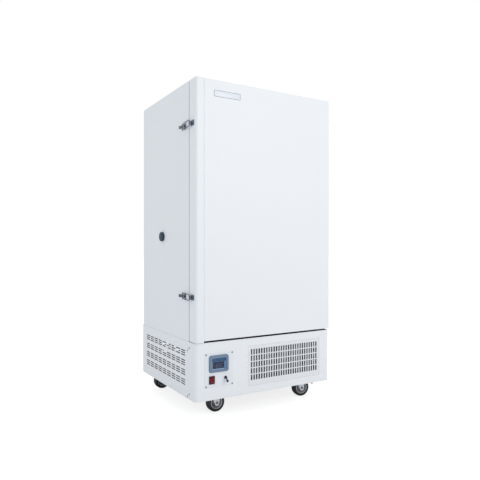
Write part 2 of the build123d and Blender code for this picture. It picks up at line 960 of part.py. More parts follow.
def base_chassis():
    """Welded frame of the machine base: a floor pan, corner posts and a top ring under the cabinet."""
    middle = ((chassis_left + chassis_right) / 2, (chassis_front + chassis_back) / 2)
    wide = chassis_right - chassis_left
    deep = chassis_back - chassis_front
    plan = Pos(*middle) * Rectangle(wide, deep)
    plan = fillet(plan.vertices().sort_by(Axis.Y)[:2], base_corner - sheet)
    tall = z_seam - chassis_bottom
    body = Pos(0, 0, chassis_bottom) * extrude(plan, amount=tall)
    body -= block(
        (chassis_left + chassis_wall, chassis_front + chassis_wall, pan_top),
        (chassis_right - chassis_wall, chassis_back - chassis_wall, z_seam - chassis_wall),
    )
    window_low = chassis_bottom + chassis_border
    window_high = z_seam - chassis_border
    body -= block(
        (chassis_left - 1, chassis_front + chassis_post, window_low),
        (chassis_right + 1, chassis_back - chassis_post, window_high),
    )
    body -= block(
        (chassis_left + chassis_post, chassis_front - 1, window_low),
        (chassis_right - chassis_post, chassis_back + 1, window_high),
    )
    return body - block(
        (chassis_left + chassis_post, chassis_front + chassis_post, z_seam - chassis_wall - 1),
        (chassis_right - chassis_post, chassis_back - chassis_post, z_seam + 1),
    )


def base_front_panel():
    """Front cover of the base, which wraps round both front corners."""
    wrap = y_base_front + wrap_length
    points = [(x_left, wrap), (x_left, y_base_front), (x_right, y_base_front), (x_right, wrap)]
    panel = folded_sheet(points, base_corner, sheet, z_base, z_seam - cover_gap)
    low = (x_left + grille_left, y_base_front - 1, z_base + grille_low)
    high = (low[0] + grille_width, y_base_front + sheet + 1, low[2] + grille_height)
    panel -= block(low, high)
    for hole in [control_hole(), rocker_hole(), toggle_hole()]:
        panel -= hole
    for hole in screw_holes(base_screw_planes()[0], sheet):
        panel -= hole
    for hole in screw_holes(plate_screw_planes(), plate_thick + sheet):
        panel -= hole
    return panel


def grille_insert():
    """Pressed grille in the front cover: a slotted field with a flange behind the cover."""
    low = (x_left + grille_left + cover_gap, y_base_front + grille_recess, z_base + grille_low + cover_gap)
    behind = y_base_front + 2 * sheet
    high = (
        low[0] + grille_width - 2 * cover_gap,
        behind,
        low[2] + grille_height - 2 * cover_gap,
    )
    grille = block(low, high)
    grille += block(
        (low[0] - grille_flange, y_base_front + sheet, low[2] - grille_flange),
        (high[0] + grille_flange, behind, high[2] + grille_flange),
    )
    centre_x = (low[0] + high[0]) / 2
    first_row = z_base + grille_low + grille_slot_low + grille_slot_height / 2
    centre_z = first_row + (grille_rows - 1) * grille_row_pitch / 2
    slot = Box(grille_slot_width, 6 * sheet, grille_slot_height)
    plane = facing_front(centre_x, behind - sheet, centre_z)
    spots = GridLocations(grille_pitch, grille_row_pitch, grille_columns, grille_rows)
    upright = Rotation(90, 0, 0)
    return grille - [Location(plane) * spot * upright * slot for spot in spots]


def louvre_panel(left_side):
    """Side cover of the base with four bands of slots, turned in at the back."""
    outer = x_left if left_side else x_right
    inward = 1 if left_side else -1
    front = y_base_front + wrap_length + cover_gap
    low_x, high_x = sorted((outer, outer + inward * sheet))
    turned = sorted((outer, outer + inward * rear_flange))
    high = z_seam - cover_gap
    panel = block((low_x, front, z_base), (high_x, y_base_back, high))
    panel += block((turned[0], y_base_back - sheet, z_base), (turned[1], y_base_back, high))
    slot = Box(6 * sheet, louvre_length, louvre_height)
    first = y_front + louvre_first + louvre_length / 2
    cuts = []
    for band in range(louvre_bands):
        for row in range(louvre_rows):
            lift = (row - (louvre_rows - 1) / 2) * louvre_row_pitch
            level = z_base + louvre_low + band * louvre_band_pitch + lift
            for column in range(louvre_columns):
                cuts.append(Pos(outer, first + column * louvre_pitch, level) * slot)
    panel -= cuts
    side = 1 if left_side else 2
    for hole in screw_holes(base_screw_planes()[side], sheet):
        panel -= hole
    return panel


def rear_grille():
    """Rear cover of the base with wide slots for the warm air, and the opening for the inlet."""
    left = x_left + rear_flange + cover_gap
    right = x_right - rear_flange - cover_gap
    panel = block(
        (left, y_base_back - sheet, z_base), (right, y_base_back, z_seam - cover_gap)
    )
    slot = Box(rear_vent_length, 6 * sheet, rear_vent_height)
    level = z_base + base_height / 2 + rear_vent_pitch
    spread = (right - left) / (rear_vent_columns + 1)
    spots = GridLocations(spread, rear_vent_pitch, rear_vent_columns, rear_vent_rows)
    plane = facing_front((left + right) / 2, y_base_back, level)
    panel -= [Location(plane) * spot * Rotation(90, 0, 0) * slot for spot in spots]
    return panel - inlet_block(0)


def inlet_block(grow):
    """The inlet's body, or the opening for it."""
    x = x_left + inlet_across
    z = z_base + inlet_up
    return block(
        (x - inlet_width / 2 - grow, y_base_back - inlet_depth, z - inlet_height / 2 - grow),
        (x + inlet_width / 2 + grow, y_base_back + 1, z + inlet_height / 2 + grow),
    )


def power_inlet():
    """Appliance inlet for a detachable mains lead, with three flat pins in its recess."""
    x = x_left + inlet_across
    z = z_base + inlet_up
    body = inlet_block(0)
    body -= block(
        (x - inlet_width / 2 + 8, y_base_back - inlet_depth + 6, z - inlet_height / 2 + 5),
        (x + inlet_width / 2 - 8, y_base_back + 2, z + inlet_height / 2 - 5),
    )
    for across, up in ((-9, -2), (0, 3), (9, -2)):
        body += block(
            (x + across - 1, y_base_back - inlet_depth + 5, z + up - 3),
            (x + across + 1, y_base_back - 5, z + up + 3),
        )
    return body


# Controls

def plate_front():
    """The level of the control plate's face."""
    return y_base_front - plate_thick


def front_block(left, low, wide, tall, near, far):
    """A box placed by its distance from the left side and above the base's lower edge."""
    x = x_left + left
    z = z_base + low
    return block((x, near, z), (x + wide, far, z + tall))


def control_hole():
    """Opening in the plate and the cover for the controller's body."""
    return front_block(
        bezel_left + housing_margin,
        bezel_low + housing_margin,
        bezel_width - 2 * housing_margin,
        bezel_height - 2 * housing_margin,
        plate_front() - 1,
        y_base_front + sheet + 1,
    )


def rocker_hole():
    """Opening in the plate and the cover for the rocker switch."""
    return front_block(
        rocker_left + rocker_frame / 2,
        rocker_low + rocker_frame / 2,
        rocker_width - rocker_frame,
        rocker_height - rocker_frame,
        plate_front() - 1,
        y_base_front + sheet + 1,
    )


def toggle_hole():
    """Round hole in the plate and the cover for the toggle switch's bush."""
    plane = facing_front(x_left + toggle_across, y_base_front + sheet + 1, z_base + toggle_up)
    return extrude(plane * Circle(toggle_bush_radius), amount=plate_thick + sheet + 2)


def control_plate():
    """Flat plate on the front cover that carries the controller and the switches."""
    plate = front_block(
        plate_left, plate_low, plate_width, plate_height, plate_front(), y_base_front
    )
    for hole in [control_hole(), rocker_hole(), toggle_hole()]:
        plate -= hole
    for hole in screw_holes(plate_screw_planes(), plate_thick):
        plate -= hole
    return plate


def plate_screw_planes():
    """One screw in each corner of the control plate."""
    margin = 1.5 * screw_head_radius
    spots = []
    for across in (plate_left + margin, plate_left + plate_width - margin):
        for up in (plate_low + margin, plate_low + plate_height - margin):
            spots.append(facing_front(x_left + across, plate_front(), z_base + up))
    return spots


def controller_housing():
    """Moulded controller: a rounded bezel in front of the plate and a body behind it."""
    front = plate_front()
    x = x_left + bezel_left + bezel_width / 2
    z = z_base + bezel_low + bezel_height / 2
    outline = RectangleRounded(bezel_width, bezel_height, bezel_corner)
    bezel = extrude(facing_front(x, front, z) * outline, amount=bezel_proud, taper=20)
    body = front_block(
        bezel_left + housing_margin,
        bezel_low + housing_margin,
        bezel_width - 2 * housing_margin,
        bezel_height - 2 * housing_margin,
        front,
        front + housing_depth,
    )
    housing = bezel + body
    face = front - bezel_proud
    inner = RectangleRounded(
        bezel_width - 2 * bezel_frame, bezel_height - 2 * bezel_frame, bezel_corner / 3
    )
    recess = extrude(facing_front(x, face + bezel_face_depth, z) * inner, amount=bezel_face_depth + 1)
    housing -= recess
    housing -= front_block(
        window_left, window_low, window_width, window_height, face, face + bezel_face_depth + window_thick
    )
    for number in range(2):
        housing -= key_block(number, key_gap, face - 1, front + key_depth + key_travel)
    return housing


def key_block(number, grow, near, far):
    """A key's outline, or its pocket when it is grown."""
    return front_block(
        key_left - grow,
        key_low + number * key_pitch - grow,
        key_width + 2 * grow,
        key_height + 2 * grow,
        near,
        far,
    )


def controller_key(number):
    """Push key that travels into its pocket in the housing."""
    face = plate_front() - bezel_proud + bezel_face_depth - key_travel - 0.5
    return key_block(number, 0, face, plate_front() + key_depth - key_gap)


def display_window():
    """Clear window over the display."""
    seat = plate_front() - bezel_proud + bezel_face_depth
    return front_block(
        window_left, window_low, window_width, window_height, seat, seat + window_thick
    )


def rocker_centre():
    """The middle of the rocker switch on the plate's face."""
    x = x_left + rocker_left + rocker_width / 2
    z = z_base + rocker_low + rocker_height / 2
    return x, plate_front(), z


def rocker_housing():
    """Black switch frame and body, open where the rocker sits."""
    front = plate_front()
    frame = front_block(
        rocker_left, rocker_low, rocker_width, rocker_height, front - rocker_frame_proud, front
    )
    body = front_block(
        rocker_left + rocker_frame / 2,
        rocker_low + rocker_frame / 2,
        rocker_width - rocker_frame,
        rocker_height - rocker_frame,
        front,
        front + rocker_body_depth,
    )
    opening = front_block(
        rocker_left + rocker_frame,
        rocker_low + rocker_frame,
        rocker_width - 2 * rocker_frame,
        rocker_height - 2 * rocker_frame,
        front - rocker_frame_proud - 1,
        front + rocker_body_depth / 2,
    )
    return frame + body - opening


def rocker_button():
    """Rocker with its two faces at a shallow angle, hung on a level axis behind the frame's face."""
    x, y, z = rocker_centre()
    half = rocker_height / 2 - rocker_frame - rocker_end_gap
    face = y - rocker_frame_proud
    outline = [
        (face - rocker_crown, z - half),
        (face + 0.5, z),
        (face - 0.3, z + half),
        (face + 4.5, z + half - 0.8),
        (face + 8, z + 4),
        (face + 8, z - 4),
        (face + 2.5, z - half - 0.2),
    ]
    points = [(0, v, w) for v, w in outline]
    side = make_face(Polyline(*points, close=True))
    wide = rocker_width - 2 * rocker_frame - 2 * rocker_gap
    return Pos(x - wide / 2, 0, 0) * extrude(side, amount=wide, dir=(1, 0, 0))


def toggle_switch():
    """Toggle switch fixed in the plate: threaded bush, nut and the body behind."""
    plane = facing_front(x_left + toggle_across, plate_front(), z_base + toggle_up)
    nut = extrude(plane * RegularPolygon(toggle_nut_radius, 6), amount=toggle_nut_thick)
    bush = extrude(plane * Circle(toggle_bush_radius), amount=toggle_bush_reach)
    shank = extrude(plane * Circle(toggle_bush_radius), amount=-plate_thick - sheet)
    body = extrude(plane.offset(-plate_thick - sheet) * Rectangle(14, 22), amount=-20)
    switch = nut + bush + shank + body
    mouth = plane.offset(toggle_bush_reach)
    cup = extrude(mouth * Circle(toggle_ball_radius + 0.6), amount=-toggle_bush_reach - plate_thick)
    return switch - cup


def toggle_pivot():
    """The point that the toggle's lever turns about, inside the bush."""
    reach = toggle_bush_reach - toggle_pivot_depth
    return x_left + toggle_across, plate_front() - reach, z_base + toggle_up


def toggle_lever():
    """Lever with a ball in the bush and a coloured sleeve, resting downwards."""
    x, y, z = toggle_pivot()
    along = (0, -cos(toggle_tilt), -sin(toggle_tilt))
    plane = Plane(origin=(x, y, z), x_dir=(1, 0, 0), z_dir=along)
    lever = extrude(plane * Circle(toggle_lever_radius), amount=toggle_lever_length)
    sleeve = plane.offset(toggle_lever_length - toggle_sleeve_length)
    lever += extrude(sleeve * Circle(toggle_sleeve_radius), amount=toggle_sleeve_length)
    return lever + Pos(x, y, z) * Sphere(toggle_ball_radius)


# Screws on the fixed cabinet and base

def base_screw_planes():
    """Screws of the base covers: on the front cover's wraps, and on the left and right side covers."""
    front, left, right = [], [], []
    inset = 10.0
    for up in (24.0, base_height - 28.0):
        wrap = y_base_front + wrap_length - inset
        side = y_base_front + wrap_length + inset
        front.append(facing_left(x_left, wrap, z_base + up))
        front.append(mirrored(facing_left(x_left, wrap, z_base + up)))
        left.append(facing_left(x_left, side, z_base + up - 14))
        right.append(mirrored(facing_left(x_left, side, z_base + up - 14)))
    return front, left, right


def mirrored(plane):
    """The same place on the right side, facing right."""
    spot = plane.origin
    return Plane(origin=(x_right, spot.Y, spot.Z), x_dir=(0, 1, 0), z_dir=(1, 0, 0))


def rear_screw_planes():
    """Screws round the back panel, into the shell's rear flange."""
    planes = []
    for level in range(4):
        z = z_seam + rear_flange / 2 + level * (cabinet_height - rear_flange) / 3
        for x in (x_left + rear_flange / 2, x_right - rear_flange / 2):
            planes.append(Plane(origin=(x, y_back, z), x_dir=(-1, 0, 0), z_dir=(0, 1, 0)))
    return planes


def screws():
    """Every visible screw of the fixed body, each one a separate solid."""
    front, left, right = base_screw_planes()
    group = [screw(plane, sheet) for plane in front + left + right + rear_screw_planes()]
    group += [screw(plane, plate_thick + sheet) for plane in plate_screw_planes()]
    for top in (True, False):
        group += [screw(plane, hinge_plate) for plane in hinge_screw_planes(top)]
    for middle in latch_heights:
        group += [screw(plane, latch_plate) for plane in latch_screw_planes(middle)]
    return group


# Refrigeration machine in the base

def compressor_seat():
    """The compressor's feet stand on their grommets above the pan."""
    return pan_top + grommet_height


def compressor():
    """Hermetic compressor: two welded shells with a seam, on a foot plate with rubber grommets."""
    x = x_left + compressor_across
    y = y_front + compressor_back
    low = compressor_seat()
    outline = Polyline(
        (0, 0),
        (compressor_neck, 0),
        (compressor_radius, compressor_shoulder),
        (compressor_radius, compressor_height / 2),
        (compressor_radius + compressor_seam, compressor_height / 2),
        (compressor_radius + compressor_seam, compressor_height / 2 + compressor_seam),
        (compressor_radius, compressor_height / 2 + compressor_seam),
        (compressor_radius, compressor_height - compressor_shoulder),
        (compressor_neck, compressor_height),
        (0, compressor_height),
        close=True,
    )
    body = revolve(Plane.XZ * make_face(outline), Axis.Z)
    foot = Box(2 * compressor_foot, 2 * compressor_foot, compressor_foot_plate, align=(Align.CENTER,) * 2 + (Align.MIN,))
    terminal = Pos(compressor_radius, 0, compressor_height / 2) * Box(26, 60, 50)
    shell = Pos(x, y, low) * (body + foot + terminal)
    for spot in compressor_spots():
        shell -= Pos(*spot, low) * Cylinder(grommet_radius / 2, 3 * compressor_foot_plate)
    return [shell] + compressor_grommets()


def compressor_spots():
    """The four corners of the compressor's foot plate."""
    x = x_left + compressor_across
    y = y_front + compressor_back
    reach = compressor_foot - grommet_radius
    return [(x + a * reach, y + b * reach) for a in (-1, 1) for b in (-1, 1)]


def compressor_grommets():
    """Rubber grommets between the pan and the compressor's feet, with a neck through each foot."""
    pieces = []
    for x, y in compressor_spots():
        body = Pos(x, y, pan_top + grommet_height / 2) * Cylinder(grommet_radius, grommet_height)
        neck_height = compressor_foot_plate + 1
        neck = Pos(x, y, compressor_seat() + neck_height / 2) * Cylinder(grommet_radius / 2, neck_height)
        pieces.append(body + neck)
    return pieces


def condenser():
    """Finned condenser behind the front grille, standing on the pan."""
    x = x_left + condenser_left
    front = y_front + condenser_front
    core = block(
        (x, front, pan_top),
        (x + condenser_width, front + condenser_thick, pan_top + condenser_height),
    )
    grooves = int(condenser_width / condenser_fin_pitch) - 1
    cut = Box(condenser_fin_pitch * 0.6, 2 * condenser_groove, condenser_height - 20)
    start = x + (condenser_width - (grooves - 1) * condenser_fin_pitch) / 2
    middle = pan_top + condenser_height / 2
    return core - [
        Pos(start + number * condenser_fin_pitch, front, middle) * cut for number in range(grooves)
    ]


def fan_centre():
    """The fan's axis, behind the middle of the condenser; the level is that of the shroud's back."""
    x = x_left + condenser_left + condenser_width / 2
    y = y_front + condenser_front + condenser_thick + shroud_depth
    return x, y, pan_top + condenser_height / 2


def fan_shroud():
    """Sheet hood on the back of the condenser with a round throat for the fan."""
    x, y, z = fan_centre()
    front = y - shroud_depth
    wide = condenser_width / 2
    tall = condenser_height / 2
    hood = block((x - wide, front, z - tall), (x + wide, y, z + tall))
    hood -= block(
        (x - wide + shroud_wall, front - 1, z - tall + shroud_wall),
        (x + wide - shroud_wall, y - shroud_wall, z + tall - shroud_wall),
    )
    throat = facing_front(x, y + 1, z) * Circle(fan_radius + fan_clearance)
    return hood - extrude(throat, amount=shroud_wall + 2)


def fan_motor():
    """Motor behind the fan with its shaft, held by four arms on the shroud's back."""
    x, y, z = fan_centre()
    back = Plane(origin=(x, y, z), x_dir=(-1, 0, 0), z_dir=(0, 1, 0))
    can = extrude(back.offset(fan_depth / 2 + 4) * Circle(motor_radius), amount=motor_length)
    shaft = extrude(back.offset(-fan_depth / 2 - 4) * Circle(motor_shaft_radius), amount=fan_depth + 10)
    motor = can + shaft
    reach = fan_radius + fan_clearance + 10
    start = fan_depth / 2 + 6
    for turn in (45, 135, 225, 315):
        arm = Pos(reach / 2, 0, start + 2) * Box(reach, motor_arm, 4)
        leg = Pos(reach - 2, 0, start / 2) * Box(8, motor_arm, start)
        motor += back * Rotation(0, 0, turn) * (arm + leg)
    return motor


def fan_rotor():
    """Axial rotor with pitched blades on a hub that is bored for the motor's shaft."""
    x, y, z = fan_centre()
    plane = facing_front(x, y, z)
    hub = extrude(plane * Circle(fan_hub_radius), amount=fan_depth / 2, both=True)
    hub -= extrude(plane * Circle(motor_shaft_radius + running_clearance), amount=fan_depth, both=True)
    span = fan_radius - fan_hub_radius + 6
    blade = Pos(fan_hub_radius - 6 + span / 2, 0, 0) * Rotation(fan_blade_pitch, 0, 0) * Box(
        span, fan_blade_chord, fan_blade_thick
    )
    rim = extrude(plane * Circle(fan_radius), amount=fan_depth, both=True)
    rotor = hub
    for number in range(fan_blades):
        turned = plane * Rotation(0, 0, 360 / fan_blades * number) * blade
        rotor += (turned & rim) - extrude(
            plane * Circle(fan_hub_radius - 2), amount=fan_depth, both=True
        )
    return rotor


def refrigerant_pipes():
    """Suction, discharge and liquid pipes, and the drier on the liquid end of the evaporator."""
    x = x_left + compressor_across
    y = y_front + compressor_back
    top = compressor_seat() + compressor_height
    level = z_seam - pipe_level
    suction_end, liquid_end = coil_tails()
    tail = z_seam - coil_tail
    line = coil_line()
    middle = y_front + condenser_front + condenser_thick / 2
    drier_top = level - pipe_step
    entry = pan_top + condenser_height / 4
    suction = tube(
        [
            (suction_end, line, tail),
            (suction_end, line, level),
            (x + pipe_step, line, level),
            (x + pipe_step, y, level),
            (x + pipe_step, y, top),
        ],
        pipe_radius,
        pipe_bend,
    )
    discharge = tube(
        [
            (x - pipe_step, y, top),
            (x - pipe_step, y, level),
            (x - pipe_step, middle, level),
            (x - pipe_step, middle, pan_top + condenser_height),
        ],
        pipe_radius,
        pipe_bend,
    )
    liquid = tube(
        [
            (liquid_end, line, drier_top - drier_length),
            (liquid_end, line, entry),
            (liquid_end, middle, entry),
            (x_left + condenser_left, middle, entry),
        ],
        pipe_radius,
        pipe_bend,
    )
    rise = Pos(liquid_end, line, (drier_top + tail) / 2) * Cylinder(pipe_radius, tail - drier_top)
    drier = Pos(liquid_end, line, drier_top - drier_length) * filter_drier()
    return [suction, discharge, liquid + drier + rise]


def filter_drier():
    """Copper drier with coned ends, upright from its own lower end."""
    outline = Polyline(
        (0, 0),
        (pipe_radius, 0),
        (drier_radius, drier_radius),
        (drier_radius, drier_length - drier_radius),
        (pipe_radius, drier_length),
        (0, drier_length),
        close=True,
    )
    return revolve(Plane.XZ * make_face(outline), Axis.Z)


# Casters

def caster_spot(number):
    """Swivel axis of a caster in plan: front left, front right, rear left, rear right."""
    front = number < 2
    side = caster_side_front if front else caster_side_rear
    x = x_left + side if number % 2 == 0 else x_right - side
    y = y_base_front + caster_front if front else y_base_back - caster_rear
    return x, y


def caster_place(number):
    """Moves a caster piece, drawn with its wheel trailing along +X, to its place and heading."""
    x, y = caster_spot(number)
    return Pos(x, y, 0) * Rotation(0, 0, caster_headings[number])


def caster_crown_top():
    """The top of the fork's crown, just under the bearing race."""
    return wheel_radius * 2 + fork_crown_clearance + fork_crown


def caster_plate(number):
    """Top plate with the bearing race and the king pin, whose head holds the fork."""
    top = chassis_bottom
    plate = Pos(0, 0, top - caster_plate_thick / 2) * Box(
        caster_plate_length, caster_plate_width, caster_plate_thick
    )
    crown = caster_crown_top()
    race_height = top - caster_plate_thick - crown
    race = Pos(0, 0, crown + race_height / 2) * Cylinder(caster_race_radius, race_height)
    pin_low = crown - fork_crown - caster_pin_gap
    pin = Pos(0, 0, (pin_low + top) / 2) * Cylinder(caster_pin_radius, top - pin_low)
    head = Pos(0, 0, pin_low - caster_pin_head / 2) * Cylinder(caster_pin_head_radius, caster_pin_head)
    x, y = caster_spot(number)
    return Pos(x, y, 0) * (plate + race + pin + head)


def caster_fork(number):
    """Pressed fork with a round crown, two legs and the axle."""
    crown_top = caster_crown_top()
    crown_low = crown_top - fork_crown
    gap = wheel_width / 2 + fork_gap
    crown = Pos(0, 0, (crown_low + crown_top) / 2) * Cylinder(fork_crown_radius, fork_crown)
    bridge = Pos(caster_trail / 2, 0, (crown_low + crown_top) / 2) * Box(
        caster_trail + fork_leg_width, 2 * (gap + fork_wall), fork_crown
    )
    body = crown + bridge
    bottom = wheel_radius - fork_leg_width / 2
    leg_outline = Polyline(
        (-fork_leg_width / 2, crown_top),
        (caster_trail + fork_leg_width / 2, crown_top),
        (caster_trail + fork_leg_width / 2, wheel_radius),
        (caster_trail + fork_leg_width / 4, bottom),
        (caster_trail - fork_leg_width / 4, bottom),
        (caster_trail - fork_leg_width / 2, wheel_radius),
        close=True,
    )
    leg = extrude(Plane.XZ * make_face(leg_outline), amount=fork_wall / 2, both=True)
    for side in (-1, 1):
        body += Pos(0, side * (gap + fork_wall / 2), 0) * leg
    axle = Pos(caster_trail, 0, wheel_radius) * Rotation(90, 0, 0)
    body += axle * Cylinder(axle_radius, 2 * (gap + fork_wall))
    body -= Pos(0, 0, crown_top) * Cylinder(
        caster_pin_radius + running_clearance, 4 * fork_crown
    )
    if number < 2:
        body -= pedal_axis() * Cylinder(pedal_pin_radius + running_clearance, 4 * gap)
    return caster_place(number) * body


def pedal_axis():
    """The brake pedal's pin, level and across the fork, near the top of its legs."""
    return Pos(pedal_pin_out, 0, pedal_pin_up) * Rotation(90, 0, 0)


def caster_tyre(number):
    """Solid rubber tread with bevelled shoulders."""
    half = wheel_width / 2
    inner = wheel_radius - tyre_depth
    outline = Polyline(
        (inner, -half),
        (wheel_radius - tyre_chamfer, -half),
        (wheel_radius, -half + tyre_chamfer),
        (wheel_radius, half - tyre_chamfer),
        (wheel_radius - tyre_chamfer, half),
        (inner, half),
        close=True,
    )
    return place_wheel(number, outline)


def caster_hub(number):
    """Hub with a raised rim and boss on both faces, bored for the axle."""
    half = wheel_width / 2
    rim = wheel_radius - tyre_depth
    web = hub_web / 2
    bore = axle_radius + running_clearance
    right = [(bore, half + 1), (hub_boss_radius, half + 1), (hub_boss_radius + 2, web), (rim - 4, web)]
    right += [(rim - 2, half), (rim, half)]
    left = [(r, -v) for r, v in right[::-1]]
    return place_wheel(number, Polyline(*right, *left, close=True))


def place_wheel(number, outline):
    """Revolves a wheel section about the axle and puts it on its caster."""
    wheel = revolve(Plane.XY * make_face(outline), Axis.Y)
    return caster_place(number) * Pos(caster_trail, 0, wheel_radius) * wheel


def caster_pedal(number):
    """Brake pedal: a sloping tread beyond the wheel on two cheeks, hung on a stub in each leg."""
    leg_inside = wheel_width / 2 + fork_gap
    cheek_inside = leg_inside + fork_wall + pedal_side_gap
    cheek_outside = cheek_inside + pedal_sheet
    half = 2 * pedal_pin_radius
    cheek = Polyline(
        (pedal_pin_out - half, pedal_pin_up - half),
        (pedal_pin_out + half, pedal_pin_up - half),
        (pedal_far, pedal_low),
        (pedal_far + pedal_tread, pedal_low + pedal_tread),
        (pedal_near + pedal_tread, pedal_high + pedal_tread),
        (pedal_pin_out + half, pedal_pin_up + half),
        (pedal_pin_out - half, pedal_pin_up + half),
        close=True,
    )
    tread = Polyline(
        (pedal_near, pedal_high),
        (pedal_far, pedal_low),
        (pedal_far + pedal_tread, pedal_low + pedal_tread),
        (pedal_near + pedal_tread, pedal_high + pedal_tread),
        close=True,
    )
    pedal = extrude(Plane.XZ * make_face(tread), amount=cheek_outside, both=True)
    sheet_side = extrude(Plane.XZ * make_face(cheek), amount=pedal_sheet / 2, both=True)
    for side in (-1, 1):
        pedal += Pos(0, side * (cheek_inside + cheek_outside) / 2, 0) * sheet_side
        stub_middle = side * (leg_inside + cheek_outside) / 2
        stub = Cylinder(pedal_pin_radius, cheek_outside - leg_inside)
        pedal += Pos(0, stub_middle, 0) * pedal_axis() * stub
    if number == 0:
        slope = degrees(atan2(pedal_high - pedal_low, pedal_far - pedal_near))
        middle = Pos((pedal_near + pedal_far) / 2, 0, (pedal_high + pedal_low) / 2)
        pedal -= middle * Rotation(0, slope, 0) * Box(pedal_slot_height, pedal_slot_width, 6 * pedal_tread)
    return caster_place(number) * pedal


# Export

corner_names = ("front_left", "front_right", "rear_left", "rear_right")
nodes = {
    "outer_shell": outer_shell(),
    "rear_panel": rear_panel(),
    "cabinet_foam": cabinet_foam(),
    "inner_liner": inner_liner(),
    "breaker_frame": breaker_frame(),
    "evaporator_coil": evaporator_coil(),
    "shelves": shelves(),
    "shelf_rails": shelf_rails(),
    "port_sleeve": port_sleeve(),
    "port_plug": port_plug(),
    "door_panel": door_panel(),
    "door_edge_profile": door_edge_profile(),
    "door_caps": door_caps(),
    "door_foam": door_foam(),
    "door_liner": door_liner(),
    "door_gasket": door_gasket(),
    "latch_keepers": latch_keepers(),
    "hinge_brackets": hinge_brackets(),
    "latch_bases": latch_bases(),
    "upper_latch_lever": latch_lever(latch_heights[0]),
    "upper_latch_link": latch_link(latch_heights[0]),
    "lower_latch_lever": latch_lever(latch_heights[1]),
    "lower_latch_link": latch_link(latch_heights[1]),
    "base_chassis": base_chassis(),
    "base_front_panel": base_front_panel(),
    "grille_insert": grille_insert(),
    "left_louvre_panel": louvre_panel(True),
    "right_louvre_panel": louvre_panel(False),
    "rear_grille": rear_grille(),
    "power_inlet": power_inlet(),
    "control_plate": control_plate(),
    "controller_housing": controller_housing(),
    "display_window": display_window(),
    "lower_key": controller_key(0),
    "upper_key": controller_key(1),
    "switch_housings": [rocker_housing(), toggle_switch()],
    "rocker_button": rocker_button(),
    "toggle_lever": toggle_lever(),
    "screws": screws(),
    "compressor": compressor(),
    "condenser": condenser(),
    "fan_shroud": fan_shroud(),
    "fan_motor": fan_motor(),
    "fan_rotor": fan_rotor(),
    "refrigerant_pipes": refrigerant_pipes(),
    "caster_plates": [caster_plate(number) for number in range(4)],
}
for number, corner in enumerate(corner_names):
    nodes[corner + "_fork"] = caster_fork(number)
    nodes[corner + "_tyre"] = caster_tyre(number)
    nodes[corner + "_hub"] = caster_hub(number)
for number in range(2):
    nodes[corner_names[number] + "_pedal"] = caster_pedal(number)

os.makedirs("parts", exist_ok=True)
for name, shape in nodes.items():
    pieces = shape if isinstance(shape, list) else [shape]
    solids = [solid for piece in pieces for solid in piece.solids()]
    export_step(Compound(children=solids, label=name), "parts/" + name + ".step")
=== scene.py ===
import json
import math

import bmesh
import bpy
import numpy as np
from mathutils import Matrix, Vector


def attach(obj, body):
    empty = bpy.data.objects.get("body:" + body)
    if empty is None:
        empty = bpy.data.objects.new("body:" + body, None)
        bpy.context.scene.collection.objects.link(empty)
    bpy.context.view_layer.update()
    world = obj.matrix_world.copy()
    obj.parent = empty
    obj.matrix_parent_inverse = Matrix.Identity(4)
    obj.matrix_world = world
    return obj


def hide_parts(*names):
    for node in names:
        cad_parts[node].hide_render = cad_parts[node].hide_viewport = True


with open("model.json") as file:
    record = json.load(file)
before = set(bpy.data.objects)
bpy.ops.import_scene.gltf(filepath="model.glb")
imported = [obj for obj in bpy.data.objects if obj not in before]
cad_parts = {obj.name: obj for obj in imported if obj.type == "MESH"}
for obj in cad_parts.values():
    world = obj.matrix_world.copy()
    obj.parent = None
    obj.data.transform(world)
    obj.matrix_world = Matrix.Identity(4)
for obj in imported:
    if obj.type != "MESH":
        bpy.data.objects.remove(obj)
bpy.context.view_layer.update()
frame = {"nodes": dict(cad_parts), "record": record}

# Studio
# The camera of the photograph, a white floor that keeps the freezer's shadow, and a white room
# seen only by the camera. Two wide lamps make the door side a little brighter than the left side.

scene = bpy.context.scene
scene.view_settings.view_transform = "Standard"


def wired(tree, kind, **sockets):
    """A shader node whose named input sockets are set to values or linked to output sockets."""
    node = tree.nodes.new(kind)
    for label, value in sockets.items():
        socket = node.inputs[label.replace("_", " ")]
        if isinstance(value, bpy.types.NodeSocket):
            tree.links.new(value, socket)
        else:
            socket.default_value = value
    return node


camera_data = bpy.data.cameras.new("camera")
camera_data.lens = 37.742
camera_data.sensor_width = 36
camera_data.shift_y = 0.0136
camera = bpy.data.objects.new("camera", camera_data)
camera.location = (-1.3688, -2.3721, 0.7951)
camera.rotation_euler = (math.radians(90), 0, math.radians(-30.78))
scene.collection.objects.link(camera)
scene.camera = camera

world = bpy.data.worlds.new("studio")
scene.world = world
world.use_nodes = True
tree = world.node_tree
tree.nodes.clear()
seen = tree.nodes.new("ShaderNodeLightPath").outputs["Is Camera Ray"]
room = wired(tree, "ShaderNodeBackground", Color=(0.95, 0.975, 1.0, 1), Strength=0.70)
white = wired(tree, "ShaderNodeBackground", Color=(1, 1, 1, 1), Strength=1.0)
blend = wired(tree, "ShaderNodeMixShader", Fac=seen)
tree.links.new(room.outputs[0], blend.inputs[1])
tree.links.new(white.outputs[0], blend.inputs[2])
end = tree.nodes.new("ShaderNodeOutputWorld")
tree.links.new(blend.outputs[0], end.inputs["Surface"])


def lamp(name, place, target, wide, tall, power, tint):
    """A rectangular area lamp that looks at a target."""
    data = bpy.data.lights.new(name, "AREA")
    data.shape = "RECTANGLE"
    data.size = wide
    data.size_y = tall
    data.energy = power
    data.color = tint
    light = bpy.data.objects.new(name, data)
    light.location = place
    away = Vector(target) - Vector(place)
    light.rotation_euler = away.to_track_quat("-Z", "Y").to_euler()
    scene.collection.objects.link(light)


